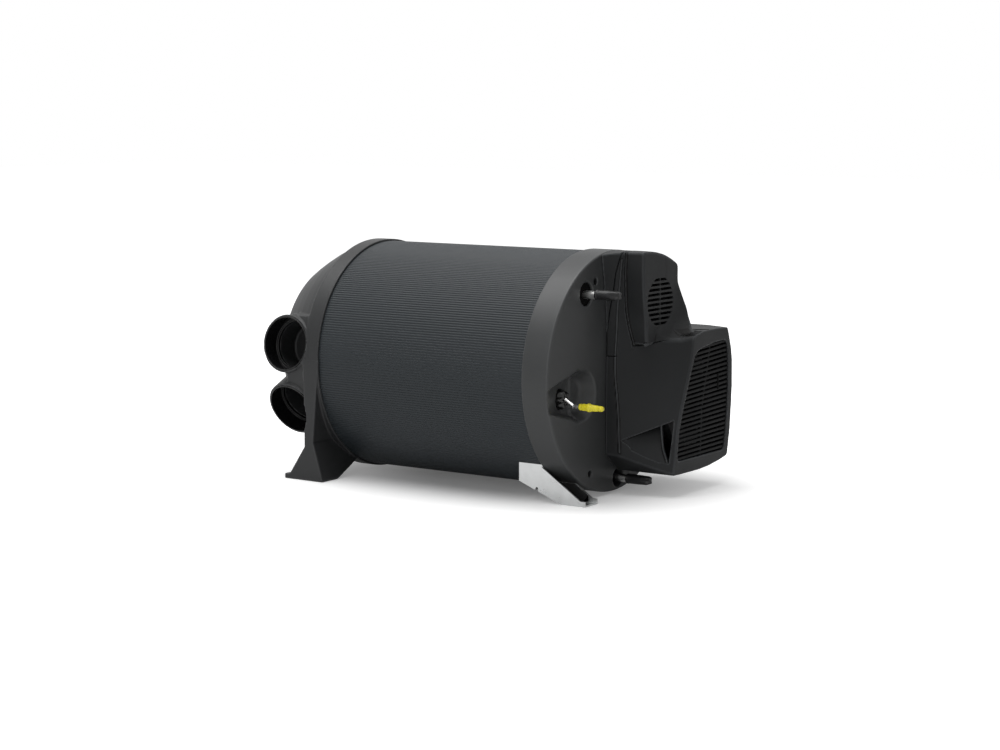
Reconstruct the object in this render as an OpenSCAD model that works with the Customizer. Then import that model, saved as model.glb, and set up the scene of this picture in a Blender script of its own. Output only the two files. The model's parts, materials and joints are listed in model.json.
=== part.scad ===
// Combined air and water heater for a caravan: a round insulated tank lying between two moulded end caps.
// X runs along the tank towards the control end, -Y is the front, +Z is up, and the feet stand on Z = 0.
// Most modules draw round the tank's own axis, and on_axis() lifts them to their height above the floor.

/* [Casing] */
// Outer radius of the sheet jacket
jacket_r = 145; // [142:0.5:148]
// Sheet thickness of the jacket
jacket_wall = 1.5; // [1:0.1:2]
// Length of jacket that shows between the two end caps
jacket_len = 306; // [296:1:326]
// How far the cap rings stand out past the jacket
ring_step = 2.5; // [2.2:0.1:4]
// Depth to which the jacket slides into each cap
jacket_seat = 8; // [6:1:9]
// Wall thickness of the moulded end caps
cap_wall = 3; // [2.4:0.1:3.6]
// Gap between the rings and the floor
floor_gap = 2.5; // [1.5:0.5:5]

/* [Outlet end] */
// Width of the ring of the outlet cap
outlet_ring_w = 23.5; // [21:0.5:27]
// Length of the domed manifold behind the ring
dome_len = 67; // [66.5:0.5:72]
// Radius of the dome where it meets its flat end
dome_end_r = 107; // [100:1:112]
// Step from the ring down to the root of the dome
dome_step = 3.5; // [2:0.5:6]
// How far the dome's side bulges past a straight cone
dome_bulge = 5; // [3:0.5:7]
// Inside radius of an air outlet, for 65 mm duct
duct_r = 32.75; // [31:0.25:33]
// Wall of an air outlet
duct_wall = 1.5; // [1.2:0.1:1.8]
// Depth to which a duct slides into an outlet
duct_depth = 22; // [16:1:23]
// Width of the inner lip that stops a duct
duct_lip = 3; // [2.5:0.5:4]
// Distance of the outlets from the ring, along the tank
duct_offset = 30; // [28:1:31]
// Angle of the upper outlets above the horizontal
upper_duct_angle = 8.5; // [7.5:0.5:10]
// Angle of the lower outlets below the horizontal
lower_duct_angle = 25.5; // [25:0.5:28]
// Height of the cheek's ledge above the axis
cheek_top = 58.5; // [58:0.5:62]

/* [Feet of the outlet cap] */
// Reach of the toe past the ring, away from the jacket
foot_toe = 33; // [28:1:40]
// Height of the toe
toe_h = 6.5; // [5:0.5:8]
// Length of the flat part of the toe
toe_flat = 10.5; // [8:0.5:13]
// Reach of the heel past the ring's outer face, towards the jacket
foot_heel = 29.7; // [26:0.1:34]
// Width of the leg at its waist
waist_w = 14.5; // [12:0.5:18]
// Height of the waist above the floor
waist_h = 46; // [40:1:52]
// Width of the foot pad across the heater
pad_w = 31.5; // [28:0.5:36]
// Radius of the screw holes in the feet
foot_hole_r = 3; // [2:0.25:3.5]

/* [Control end] */
// Width of the ring of the control-end cap
burner_ring_w = 37; // [34:0.5:40]
// Chamfer between that ring and its end face
face_chamfer = 1.5; // [0.5:0.25:2.5]
// Depth from the end face to the front of the fan box
cover_depth = 80.5; // [78:0.5:90]
// Depth from the end face to the ridge of the side wall
ridge_depth = 19.5; // [18:0.5:22]
// Depth from the end face to the front of the vent box
vent_box_depth = 46.5; // [44:0.5:50]
// Rise of the ridge from the seam to the top of the upper cover
ridge_rise = 11.5; // [9:0.5:13]
// Distance of the side wall in front of the axis
housing_side = 26; // [24:0.5:28]
// Rise of the housing's underside above the lowest point of the ring
housing_lift = 25; // [23.5:0.5:26.5]
// Distance of the upper cover's far wall behind the axis
cover_far = 72; // [70:0.5:74]
// Distance of the fan box's far wall behind the axis
fan_box_far = 149.5; // [147:0.5:150.5]
// Height of the fan box above the axis
fan_box_top = 46; // [44:0.5:48]
// Drop of the cover's outline inside the ring radius
cover_inset = 0.5; // [0.3:0.1:2]
// Rounding of the covers' edges
soft_r = 6; // [5:0.5:7]
// Wall of the covers
shell_wall = 2.5; // [2:0.1:3]
// Gap between parts that are fitted together
fit = 0.3; // [0.2:0.05:0.4]
// Height of the cover's lower seam above the axis
seam_z = 20; // [18:0.5:22]
// Radius of the round vent
vent_r = 29.5; // [26:0.5:31]
// Number of slot rows in the vent
vent_rows = 10; // [6:2:12]
// Height of one vent slot
vent_slot_h = 3.4; // [2.5:0.1:4]
// Number of slots in the intake grille
grille_rows = 23; // [18:1:26]
// Height of one grille slot
grille_slot_h = 3.4; // [2.5:0.1:3.8]
// Thickness of the grille
grille_t = 3; // [2.5:0.1:4]

/* [Pipes] */
// Outer radius of the water pipes
water_pipe_r = 5; // [4:0.25:5.5]
// Wall of the water pipes
pipe_wall = 1; // [0.6:0.1:1.5]
// Reach of the pipe stubs past the end face
stub_reach = 36; // [30:1:40]
// Outer radius of the fuel pipe
fuel_pipe_r = 2.5; // [2:0.25:3]
// Radius of the holes that the water pipes come out of
pipe_hole_r = 14.5; // [13:0.5:15]
// Length of a push-on cap
cap_len = 33; // [29:1:38]
// Bare length of pipe between the end face and a cap
cap_gap = 13.5; // [11:0.5:16]
// Outer radius of the water caps
water_cap_r = 6.4; // [6.2:0.1:7]
// Outer radius of the fuel cap
fuel_cap_r = 4.4; // [4:0.1:5]
// Running clearance of a cap on its pipe and of a shaft in its bore
run_fit = 0.05; // [0.02:0.01:0.1]
// Radius of the exhaust stub's end
exhaust_r = 12; // [11:0.5:12.5]
// Radius of the combustion-air stub's end
intake_r = 12.5; // [11:0.5:12.5]

/* [Foot brackets] */
// Sheet thickness of a bracket
bracket_t = 2; // [1.5:0.1:2.5]
// Width of the channel
bracket_w = 29; // [26:0.5:32]
// Distance of the outer flange from the axis plane
bracket_y = 101; // [98:0.5:104]
// Reach of the bracket under the jacket, past the cap's ring
bracket_back = 34; // [30:1:40]
// Reach of the bracket past the end face
bracket_front = 22.5; // [20:0.5:26]
// Height of the flange at the free end
bracket_lip = 6.5; // [5:0.5:8]
// Length of the base that lies on the floor
bracket_base = 33.5; // [30:0.5:38]

/* [Tank and burner] */
// Room from the water tank to the outside of the jacket
wool_room = 17.5; // [17:0.5:23]
// Inner radius of the ring-shaped tank
tank_inner_r = 72; // [68:0.5:74]
// Length of jacket left over past the two ends of the tank
tank_room = 38; // [37:1:50]
// Wall of the tank
tank_wall = 1.5; // [1:0.1:2]
// Radius of the heat exchanger's core
core_r = 42; // [40:0.5:43]
// Number of fins on the heat exchanger
fin_count = 16; // [10:1:24]
// Radius of the burner tube
flame_r = 30; // [28:0.5:31]
// Radius of the burner housing
drum_r = 44; // [43.5:0.5:44.5]
// Radius of the combustion-air fan
burner_fan_r = 36; // [32:0.5:38]
// Radius of the combustion-air motor
burner_motor_r = 20; // [18:0.5:22]
// Radius of the combustion-air fan's shaft
burner_shaft_r = 2.5; // [2:0.1:3]

/* [Circulating fan] */
// Distance of the fan's axis behind the tank's axis
fan_y = 78; // [76:0.5:80]
// Drop of the fan's axis below the tank's axis
fan_drop = 40; // [38:0.5:42]
// Radius of the fan's wheel
fan_r = 48; // [44:0.5:50]
// Inside radius of the fan's housing
fan_duct_r = 54; // [52:0.5:55]
// Radius of the fan's motor
fan_motor_r = 26; // [24:0.5:28]
// Radius of the fan's shaft
fan_shaft_r = 3; // [2.5:0.1:3.5]
// Number of blades on the fan's wheel
fan_blades = 24; // [16:1:30]

/* [Hidden] */
$fn = 96;
eps = 1;

// Main radii and stations along X
ring_r = jacket_r + ring_step;
axis_h = ring_r + floor_gap;
seat_r = jacket_r + fit / 2;
shoulder_lap = 1;
shoulder_r = jacket_r - jacket_wall - shoulder_lap;
duct_out_r = duct_r + duct_wall;
collar_wall = 1.8;
collar_r = duct_out_r + fit / 2 + collar_wall;
left_reach = max(dome_len, duct_offset + collar_r);
total_len = left_reach + outlet_ring_w + jacket_len + burner_ring_w + cover_depth;
x_ring = left_reach - total_len / 2;
x_end = x_ring - dome_len;
x_jacket = x_ring + outlet_ring_w;
x_cap = x_jacket + jacket_len;
x_face = x_cap + burner_ring_w;
x_front = x_face + cover_depth;
x_plate = x_face - cap_wall;

// Dome of the outlet cap, as points of [radius, x]
dome_edge = 3;
dome_root = [ring_r - dome_step, x_ring];
dome_rim = [dome_end_r, x_end + dome_edge];
dome_chord = dome_rim - dome_root;
dome_out = [-dome_chord[1], dome_chord[0]] / norm(dome_chord);
dome_steps = 8;
function dome_point(s, inset) =
  dome_root + dome_chord * s + dome_out * (dome_bulge * 4 * s * (1 - s) - inset);
function dome_curve(inset) = [for (i = [dome_steps:-1:0]) dome_point(i / dome_steps, inset)];

// Air outlets
x_port = x_ring - duct_offset;
port_stop = 4;
port_len = duct_depth + port_stop;
port_proud = 4.5;
passage_r = duct_r - duct_lip;
collar_root = passage_r / sin((upper_duct_angle + lower_duct_angle) / 2) + eps;
cheek_step = 1;
cheek_r = ring_r - cheek_step;
cheek_low = ring_r * sin(lower_duct_angle) + duct_out_r * cos(lower_duct_angle) + cap_wall;
cheek_depth = 90;

// Feet of the outlet cap
x_heel = x_ring + foot_heel;
toe_margin = 1;
foot_hole_x = x_ring - foot_toe + toe_flat + foot_hole_r + toe_margin;
foot_hole_y = ring_r - pad_w / 2;
foot_pad_t = 6;
arch_y = 72;
arch_drop = 132;
leg_inner_y = 40;
leg_inner_drop = 100;
knee_share = 0.42;
knee_h = 28.5;
leg_blend = 3;

// Holes and pocket of the end face: [y, z] about the axis, those near the rim by their gap from it and angle
hot_gap = 30.45;
hot_angle = 123.15;
cold_side = 10;
cold_gap = 15.5;
cold_inner_gap = 35.5;
face_hole_gap = [27.31, 17.1];
face_hole_angle = [111.27, -114.46];
function from_rim(gap, angle) = (ring_r - gap) * [cos(angle), sin(angle)];
hot_pipe = from_rim(hot_gap, hot_angle);
cold_pipe = [cold_side, cold_gap - ring_r];
cold_inner = [cold_side, cold_inner_gap - ring_r];
fuel_hole = [-100, -24];
fuel_stub = [-99, -31];
face_holes = [for (i = [0, 1]) from_rim(face_hole_gap[i], face_hole_angle[i])];
pocket_centre = [-73, -24];
pocket_r = 35;
pocket_floor_r = 20;
pocket_depth = 16;
fuel_hole_r = 13;
channel_h = 28;
channel_depth = 10;
channel_in = 90;
notch_depth = 14;
notch_r = 11.5;
notch_pipe_hole_r = 7;
pocket_wall = 2.5;
boss_r = 5;
boss_len = 14;
face_hole_r = 3.5;
face_hole_depth = 8;
screw_core_r = 1.6;

// Stations of the control housing and its soft corners
housing_drop = ring_r - housing_lift;
x_ridge = x_face + ridge_depth;
x_vent = x_face + vent_box_depth;
cover_r = ring_r - cover_inset;
seam_base = 5.2;
seam_rise = 16;
seam_bend = 47;
seam_power = 1.5;
hull_fn = 24;
ridge_c = -housing_side + soft_r;
low_c = -housing_drop + soft_r;
ridge_low_rise = 25.5;
ridge_low_c = low_c + ridge_low_rise;
far_c = cover_far - soft_r;
front_c = x_front - soft_r;
box_top_c = fan_box_top - soft_r;
box_far_c = fan_box_far - soft_r;
back_c = x_face + soft_r;
house_reach = max(ring_r, fan_box_far) + eps;
arc_c = cover_r - soft_r;
vent_side = 7;
vent_low = 32;
vent_left_c = soft_r - vent_side;
vent_low_c = vent_low + soft_r;
vent_root = 10;
vent_centre = [29.5, 86];
vent_rib = 2.4;
function on_arc(y) = [y, sqrt(arc_c * arc_c - y * y)];
seam_steps = 8;
function seam_x(z) =
  x_face + seam_base + seam_rise * pow(max(0, (z - seam_bend) / (ring_r - seam_bend)), seam_power);
function seam_height(s) = seam_bend + (ring_r - seam_bend) * s;
function seam_point(s) = [seam_x(seam_height(s)), seam_height(s)];

// Corners of the sloping flank, from the ridge to the front of the fan box
flank_points = [
  [back_c, 0, low_c], [back_c, 70, low_c], [back_c, far_c, 98],
  [x_ridge - soft_r, ridge_c, ridge_low_c], [x_ridge - soft_r, ridge_c, 16], [x_ridge, -4, 22],
  [x_ridge + 9, far_c, 98], [front_c, 0, low_c], [front_c, 70, low_c], [front_c, 52, 19], [front_c, 70, 30]
];
// Corners of the fan box
fan_box_side = [
  [46, low_c], [box_far_c - 8, low_c], [box_far_c, -15], [box_far_c - 7, box_top_c],
  [100, box_top_c], [72, box_top_c - 4], [54, box_top_c - 13]
];
fan_box_points = [for (x = [back_c, front_c], p = fan_box_side) [x, p[0], p[1]]];
// Corners of the vent box on the upper cover
arc_steps = 5;
vent_box_side = concat([[vent_left_c, vent_low_c], [far_c, vent_low_c]],
  [for (i = [0:arc_steps]) on_arc(vent_left_c + (far_c - vent_left_c) * i / arc_steps)]);
vent_box_points = [for (x = [x_ridge - vent_root, x_vent - soft_r], p = vent_box_side) [x, p[0], p[1]]];
// Corners of the flat part of the upper cover
upper_side = concat([[ridge_c, 0], [far_c, 0]],
  [for (i = [0:arc_steps]) on_arc(ridge_c + (far_c - ridge_c) * i / arc_steps)]);
upper_points = concat([for (p = upper_side) [x_face - soft_r, p[0], p[1]]],
  [for (p = upper_side) [x_ridge + (p[1] > seam_z ? ridge_rise : 0) - soft_r, p[0], p[1]]]);
// Outline of the part of the housing that lies against the end face, up to a given height
function low_side(top) = [
  [-housing_side, ridge_low_c + 2], [-2, -housing_drop + 2], [box_far_c - 6, -housing_drop + 2],
  [fan_box_far - 2, -15], [box_far_c - 2, fan_box_top - 4], [far_c, fan_box_top - 4], [far_c, top],
  [-housing_side, top]
];

// Intake grille: corners of its outline in [y, z]
grille_low = low_c + 10.5;
grille_high = box_top_c - 9;
grille_far = box_far_c - 13;
grille_near_low = 9;
grille_near_high = 50;
grille_arc_r = 24;
grille_frame = 4;
grille_rib = 4;
grille_recess = 0.6;
grille_lean = (grille_near_high - grille_near_low) / (grille_high - grille_low);
x_grille = x_front - grille_recess - grille_t;

// Pipes and caps
x_stub = x_face + stub_reach;
x_cap_start = x_face + cap_gap;
x_cap_end = x_cap_start + cap_len;
cap_floor = 2;
pipe_flange_r = 9;
pipe_flange_t = 3;
cap_collar = 0.9;
collar_from = 0.38;
collar_to = 0.44;
cold_bend = [10, 33];
fuel_bend = [6, 5];
bend_swell = 0.15;
seal_t = 8;
seal_lap = 2;
seal_lip = 2;

// Foot brackets, in X and Z about the axis
x_bracket = x_cap - bracket_back;
x_bracket_end = x_face + bracket_front;
bracket_top = 22.4;
bracket_rise = 23;
bracket_hole_r = 3;
bracket_mid = bracket_y - bracket_w / 2;
x_bracket_hole = x_bracket_end - bracket_base / 2;
rivet_r = 2;
rivet_head_r = 4;
rivet_head_t = 1.6;
rivet_margin = 8.5;
rivet_xs = [x_bracket + rivet_margin, x_cap - rivet_margin];
saddle_r = jacket_r + fit;
rivet_tilt = 180 - asin(bracket_mid / jacket_r);

// Tank, exchanger and burner stations along X
tank_r = jacket_r - wool_room;
tank_len = jacket_len - tank_room;
tank_setback = 25.5;
insulation_r = jacket_r - jacket_wall - fit;
insulation_in_r = tank_r + fit;
tank_back = x_cap - tank_setback;
tank_front = tank_back - tank_len;
insulation_over = 5;
core_wall = 3;
fin_t = 2.5;
core_past = 7;
core_end = tank_back + core_past;
core_setback = 16;
core_start = tank_front + core_setback;
core_flange_t = 3;
fin_setback = 4;
flame_wall = 1.5;
flame_run = 80;
flame_start = core_start + flame_run;
drum_wall = 2.5;
drum_setback = 3.5;
drum_end = x_plate - drum_setback;
chamber_len = 21;
partition_x = core_end + chamber_len;
nozzle_r = 18;
mixer_r = flame_r - 2 * flame_wall;
head_t = 5;
head_hole_r = 3;
head_holes = 12;
air_hole_ring = 21;
gas_hole_ring = 35;
burner_fan_gap = 3.5;
burner_fan_start = partition_x + drum_wall + burner_fan_gap;
burner_fan_w = 10;
burner_disc_t = 2;
motor_gap = 2;
motor_flange_t = 2.5;
motor_flange_lap = 5;
motor_flange_r = burner_motor_r + motor_flange_lap;
motor_cover_t = 2;
burner_motor_start = burner_fan_start + burner_fan_w + motor_gap;
burner_motor_end = x_plate - eps;
burner_blades = 12;
motor_screw_count = 3;
burner_screw_ring = burner_motor_r + motor_flange_lap / 2;
burner_head_r = 2;
glow_pin_y = 12;
glow_pin_len = 22;
glow_head_t = 3;
glow_lap = 1;
stub_x = x_plate - intake_r - eps;
stub_angle = 40;
stub_reach_out = 30;
stub_end = ring_r + stub_reach_out;
stub_gap = 1.5;
stub_root = ring_r + stub_gap;
stub_neck = 1.4;
stub_wall = 1.2;
stub_inner_r = 7;
stub_in = 29.5;
stub_swell = ring_r - stub_in;
exhaust_x = core_end + chamber_len / 2 + motor_gap;
exhaust_rise = 22;
exhaust_run = 50;
exhaust_bend = [drum_r + exhaust_rise, drum_r + exhaust_run];

// Circulating fan stations along X
fan_z = -fan_drop;
housing_back_t = 3;
x_spider = x_face + housing_back_t;
spider_t = 2.5;
spider_r = fan_duct_r + 5;
x_fan_motor = x_spider + spider_t;
fan_motor_len = 22;
x_bearing = x_fan_motor + motor_cover_t;
fan_wheel_gap = 2;
x_wheel = x_fan_motor + fan_motor_len + fan_wheel_gap;
wheel_w = 24;
wheel_disc_t = 2;
hub_r = 9;
blade_t = 1.2;
blade_depth = 14;
blade_in_r = fan_r - blade_depth;
fan_duct_wall = 2.5;
fan_inlet_gap = 5;
x_fan_inlet = x_wheel + wheel_w + fan_inlet_gap;
fan_inlet_lap = 8;
fan_inlet_r = fan_r - fan_inlet_lap;
bearing_r = 8;
bearing_w = 5;
bearing_lap = 1;
spider_arm_w = 10;
spider_lap = 4;
fan_screw_ring = 18;
fan_screw_in = 5;
blade_lap = 1;
small_screw_r = 1.5;
small_head_r = 3;
small_head_t = 2;

// Electronics in the upper cover, in [y, z] about the axis
board_low = [-16, 34];
board_gap = 15.97;
board_angle = 61.88;
board_high = from_rim(board_gap, board_angle);
board_t = 1.6;
board_post = 6.5;
board_post_r = 3.5;
board_margin = 6;
x_board = x_face + housing_back_t + board_post;
x_board_face = x_board + board_t;
housing_screw_gap = [45.52, 17.95];
housing_screw_angle = [-78.69, 81.12];
housing_screw_at = concat([[-15, -70], [-15, 62]],
  [for (i = [0, 1]) from_rim(housing_screw_gap[i], housing_screw_angle[i])]);
screw_r = 2;
screw_head_r = 4;
screw_head_t = 3;
screw_len = 9;
cable_hole = [45, 22];
cable_hole_r = 8;
relay_size = [15, 14, 16];
relay_at = [8, 94];
relay_pitch = 18;
relay_count = 3;
capacitor_r = 5;
capacitor_h = 18;
capacitor_at = [12, 82];
capacitor_pitch = 14;
capacitor_count = 4;
chip_size = [2, 16, 16];
chip_at = [20, 56];
transformer_size = [12, 14, 20];
transformer_at = [42, 54];
plug_size = [10, 12, 8];
plug_wall = 1.5;
plug_at = [2, 36];
plug_pitch = 14;
plug_count = 4;

// Sensors on the tank's end wall
sensor_gap = 44.64;
sensor_angle = -63.43;
switch_gap = 48.5;
switch_angle = 45;
sensor_at = from_rim(sensor_gap, sensor_angle);
switch_at = from_rim(switch_gap, switch_angle);
sensor_r = 5;
sensor_len = 13;
probe_r = 2.5;
probe_len = 16;
switch_r = 9;
switch_t = 6;
terminal_r = 1;
terminal_len = 5;
terminal_y = 4;

// Placing helpers
module on_axis() translate([0, 0, axis_h]) children();
module both_sides() {
  children();
  mirror([0, 1, 0]) children();
}
module at_yz(p) translate([0, p[0], p[1]]) children();
module bar(x0, x1, r) translate([x0, 0, 0]) rotate([0, 90, 0]) cylinder(h = x1 - x0, r = r);
module taper(x0, x1, r0, r1) translate([x0, 0, 0]) rotate([0, 90, 0])
  cylinder(h = x1 - x0, r1 = r0, r2 = r1);
module pipe_x(x0, x1, r_out, r_in) difference() {
  bar(x0, x1, r_out);
  bar(x0 - eps, x1 + eps, r_in);
}
module revolve() rotate([0, 90, 0]) rotate_extrude() children();
module slab_yz(x0, x1) translate([x0, 0, 0]) rotate([90, 0, 90]) linear_extrude(x1 - x0) children();
module slab_xz(y0, y1) translate([0, y1, 0]) rotate([90, 0, 0]) linear_extrude(y1 - y0) children();
module block(low, high) translate(low) cube(high - low);
module link(a, b, r) {
  along = b - a;
  translate(a) rotate([0, acos(along[2] / norm(along)), atan2(along[1], along[0])])
    cylinder(h = norm(along), r = r);
}
module bent_rod(points, r) {
  for (i = [0:len(points) - 2]) link(points[i], points[i + 1], r);
  for (i = [1:1:len(points) - 2]) translate(points[i]) sphere(r = r + bend_swell);
}
module soft_hull(points, r) hull() for (p = points) translate(p) sphere(r = r, $fn = hull_fn);
module screw(x_seat, head_r, head_t, shank_r, shank_len) {
  bar(x_seat, x_seat + head_t, head_r);
  bar(x_seat - shank_len, x_seat + head_t / 2, shank_r);
}

// Jacket
module at_rivets() both_sides() for (x = rivet_xs)
  translate([x, 0, 0]) rotate([rivet_tilt, 0, 0]) children();
module rivet_holes() at_rivets() cylinder(h = ring_r + bracket_w, r = rivet_r + fit / 2);
module outer_jacket() color("#3a4044") on_axis() difference() {
  pipe_x(x_jacket - jacket_seat, x_cap + jacket_seat, jacket_r, jacket_r - jacket_wall);
  rivet_holes();
}

// Outlet cap
module at_port(front, angle) mirror([0, front ? 0 : 1, 0])
  translate([x_port, 0, 0]) rotate([90 - angle, 0, 0]) children();
module at_ports() for (front = [true, false], angle = [upper_duct_angle, -lower_duct_angle])
  at_port(front, angle) children();
module cap_outer() revolve() polygon(concat(
  [[0, x_end], [dome_end_r - dome_edge, x_end]], dome_curve(0),
  [[ring_r, x_ring], [ring_r, x_jacket], [0, x_jacket]]));
module cap_inner() revolve() polygon(concat(
  [[0, x_end + cap_wall], [dome_end_r - dome_edge - cap_wall, x_end + cap_wall]], dome_curve(cap_wall),
  [[shoulder_r, x_jacket - jacket_seat], [seat_r, x_jacket - jacket_seat], [seat_r, x_heel + eps],
   [0, x_heel + eps]]));
module cheek(inset, past) both_sides() intersection() {
  bar(x_port + inset, x_ring + past, cheek_r - inset);
  block([x_port, -ring_r, inset - cheek_low], [x_ring + past, -cheek_depth, cheek_top - inset]);
}
module port_collars() at_ports() translate([0, 0, collar_root])
  cylinder(h = ring_r - port_proud - collar_root, r = collar_r);
module leg() intersection() {
  slab_xz(-ring_r, -leg_inner_y) polygon([
    [x_ring - foot_toe, -axis_h], [x_ring - foot_toe, -axis_h + toe_h],
    [x_ring - foot_toe + toe_flat, -axis_h + toe_h + leg_blend], [x_ring, -axis_h + waist_h - leg_blend],
    [x_ring, 0], [x_jacket, 0], [x_ring + waist_w, -axis_h + waist_h + leg_blend],
    [x_ring + waist_w + (foot_heel - waist_w) * knee_share, -axis_h + knee_h], [x_heel, -axis_h]
  ]);
  slab_yz(x_ring - foot_toe, x_heel) polygon([
    [-ring_r, 0], [-ring_r, -axis_h], [pad_w - ring_r, -axis_h], [-arch_y, -arch_drop],
    [-leg_inner_y, -leg_inner_drop], [-leg_inner_y, 0]
  ]);
}
module outlet_end_cap() color("#4a4c4e") on_axis() difference() {
  union() {
    difference() {
      union() {
        cap_outer();
        cheek(0, eps);
        both_sides() leg();
      }
      cap_inner();
      cheek(cap_wall, cap_wall);
    }
    port_collars();
  }
  at_ports() {
    translate([0, 0, ring_r - port_len]) cylinder(h = port_len + collar_r, r = duct_out_r + fit / 2);
    translate([0, 0, cheek_depth]) cylinder(h = ring_r, r = passage_r);
  }
  both_sides() translate([foot_hole_x, -foot_hole_y, -axis_h]) {
    translate([0, 0, -eps]) cylinder(h = foot_pad_t + 2 * eps, r = foot_hole_r);
    translate([0, 0, foot_pad_t]) cylinder(h = waist_h, r = 2 * foot_hole_r);
  }
}
module air_outlet(front, angle) color("#1c1d1e") on_axis() at_port(front, angle)
  translate([0, 0, ring_r - port_len]) difference() {
    cylinder(h = port_len, r = duct_out_r);
    translate([0, 0, port_stop]) cylinder(h = duct_depth + eps, r = duct_r);
    translate([0, 0, -eps]) cylinder(h = port_len, r = passage_r);
  }
module air_outlet_front_upper() air_outlet(true, upper_duct_angle);
module air_outlet_front_lower() air_outlet(true, -lower_duct_angle);
module air_outlet_rear_upper() air_outlet(false, upper_duct_angle);
module air_outlet_rear_lower() air_outlet(false, -lower_duct_angle);

// Control-end cap
module burner_cap_shell() difference() {
  revolve() polygon([[0, x_face], [ring_r - face_chamfer, x_face], [ring_r, x_face - face_chamfer],
    [ring_r, x_cap], [0, x_cap]]);
  revolve() polygon([[0, x_plate], [shoulder_r, x_plate], [shoulder_r, x_cap + jacket_seat],
    [seat_r, x_cap + jacket_seat], [seat_r, x_cap - eps], [0, x_cap - eps]]);
}
module pocket(grow, past) {
  at_yz(pocket_centre)
    taper(x_face - pocket_depth - grow, x_face + past, pocket_floor_r + grow, pocket_r + grow);
  block([x_face - channel_depth - grow, -ring_r - eps, fuel_hole[1] - channel_h / 2 - grow],
    [x_face + past, -channel_in, fuel_hole[1] + channel_h / 2 + grow]);
}
module cap_linings() {
  intersection() {
    union() {
      pocket(pocket_wall, -eps / 2);
      at_yz(cold_pipe) bar(x_face - notch_depth - pocket_wall, x_face - eps / 2, notch_r + pocket_wall);
    }
    bar(x_cap, x_face, ring_r - eps / 2);
  }
  at_yz(fuel_hole)
    bar(x_face - pocket_depth - pocket_wall, x_face - channel_depth, fuel_hole_r + pocket_wall);
  for (p = face_holes) at_yz(p) bar(x_face - boss_len, x_face - eps, boss_r);
}
module burner_end_cap() color("#3a3b3d") on_axis() difference() {
  union() {
    burner_cap_shell();
    cap_linings();
  }
  pocket(0, eps);
  at_yz(fuel_hole) bar(x_cap, x_face + eps, fuel_hole_r);
  at_yz(hot_pipe) bar(x_cap, x_face + eps, pipe_hole_r);
  at_yz(cold_pipe) bar(x_face - notch_depth, x_face + eps, notch_r);
  at_yz(cold_pipe) bar(x_cap, x_face, notch_pipe_hole_r);
  for (p = face_holes) at_yz(p) {
    bar(x_face - face_hole_depth, x_face + eps, face_hole_r);
    bar(x_cap, x_face, screw_core_r);
  }
  at_yz([fan_y, fan_z]) bar(x_cap, x_face + eps, fan_duct_r);
  at_yz(cable_hole) bar(x_cap, x_face + eps, cable_hole_r);
  for (p = housing_screw_at) at_yz(p) bar(x_cap, x_face + eps, screw_r + run_fit);
  for (end = [[-stub_angle, exhaust_r], [stub_angle, intake_r]])
    at_stub(end[0]) cylinder(h = ring_r + eps, r = end[1] - stub_neck + fit);
}
module face_screws() color("#8d9194") on_axis() for (p = face_holes) at_yz(p)
  screw(x_face - face_hole_depth, face_hole_r - fit, small_head_t, screw_core_r - run_fit, boss_len);

// Foot brackets
module bracket_flange() polygon([
  [x_bracket, -bracket_y], [x_bracket + bracket_top, -bracket_y],
  [x_bracket_end - bracket_lip, -axis_h + bracket_lip], [x_bracket_end, -axis_h + bracket_lip],
  [x_bracket_end, -axis_h], [x_bracket_end - bracket_base, -axis_h], [x_bracket, -axis_h + bracket_rise]
]);
module bracket_web() polygon([
  [x_bracket, -axis_h + bracket_rise], [x_bracket_end - bracket_base, -axis_h], [x_bracket_end, -axis_h],
  [x_bracket_end, -axis_h + bracket_t], [x_bracket_end - bracket_base, -axis_h + bracket_t],
  [x_bracket, -axis_h + bracket_rise + bracket_t]
]);
module foot_bracket() difference() {
  union() {
    slab_xz(-bracket_y, -bracket_y + bracket_t) bracket_flange();
    slab_xz(-bracket_y + bracket_w - bracket_t, -bracket_y + bracket_w) bracket_flange();
    slab_xz(-bracket_y, -bracket_y + bracket_w) bracket_web();
    intersection() {
      pipe_x(x_bracket, x_cap - fit, saddle_r + bracket_t, saddle_r);
      block([x_bracket, -bracket_y, -ring_r - bracket_t], [x_cap, -bracket_y + bracket_w, 0]);
    }
  }
  bar(x_bracket - eps, x_cap, saddle_r);
  bar(x_cap - fit, x_face + fit, ring_r + fit);
  translate([x_bracket_hole, -bracket_mid, -axis_h - eps])
    cylinder(h = bracket_t + 2 * eps, r = bracket_hole_r);
  rivet_holes();
}
module front_foot_bracket() color("#d0d3d2") on_axis() foot_bracket();
module rear_foot_bracket() color("#d0d3d2") on_axis() difference() {
  translate([x_bracket + x_cap, 0, 0]) rotate([0, 0, 180]) foot_bracket();
  block([x_cap - fit, 0, -axis_h], [x_face, ring_r, 0]);
}
module bracket_rivets() color("#b9bcbe") on_axis() at_rivets() {
  translate([0, 0, jacket_r - jacket_wall])
    cylinder(h = bracket_t + jacket_wall + fit + rivet_head_t / 2, r = rivet_r);
  translate([0, 0, saddle_r + bracket_t]) cylinder(h = rivet_head_t, r = rivet_head_r);
}

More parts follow.
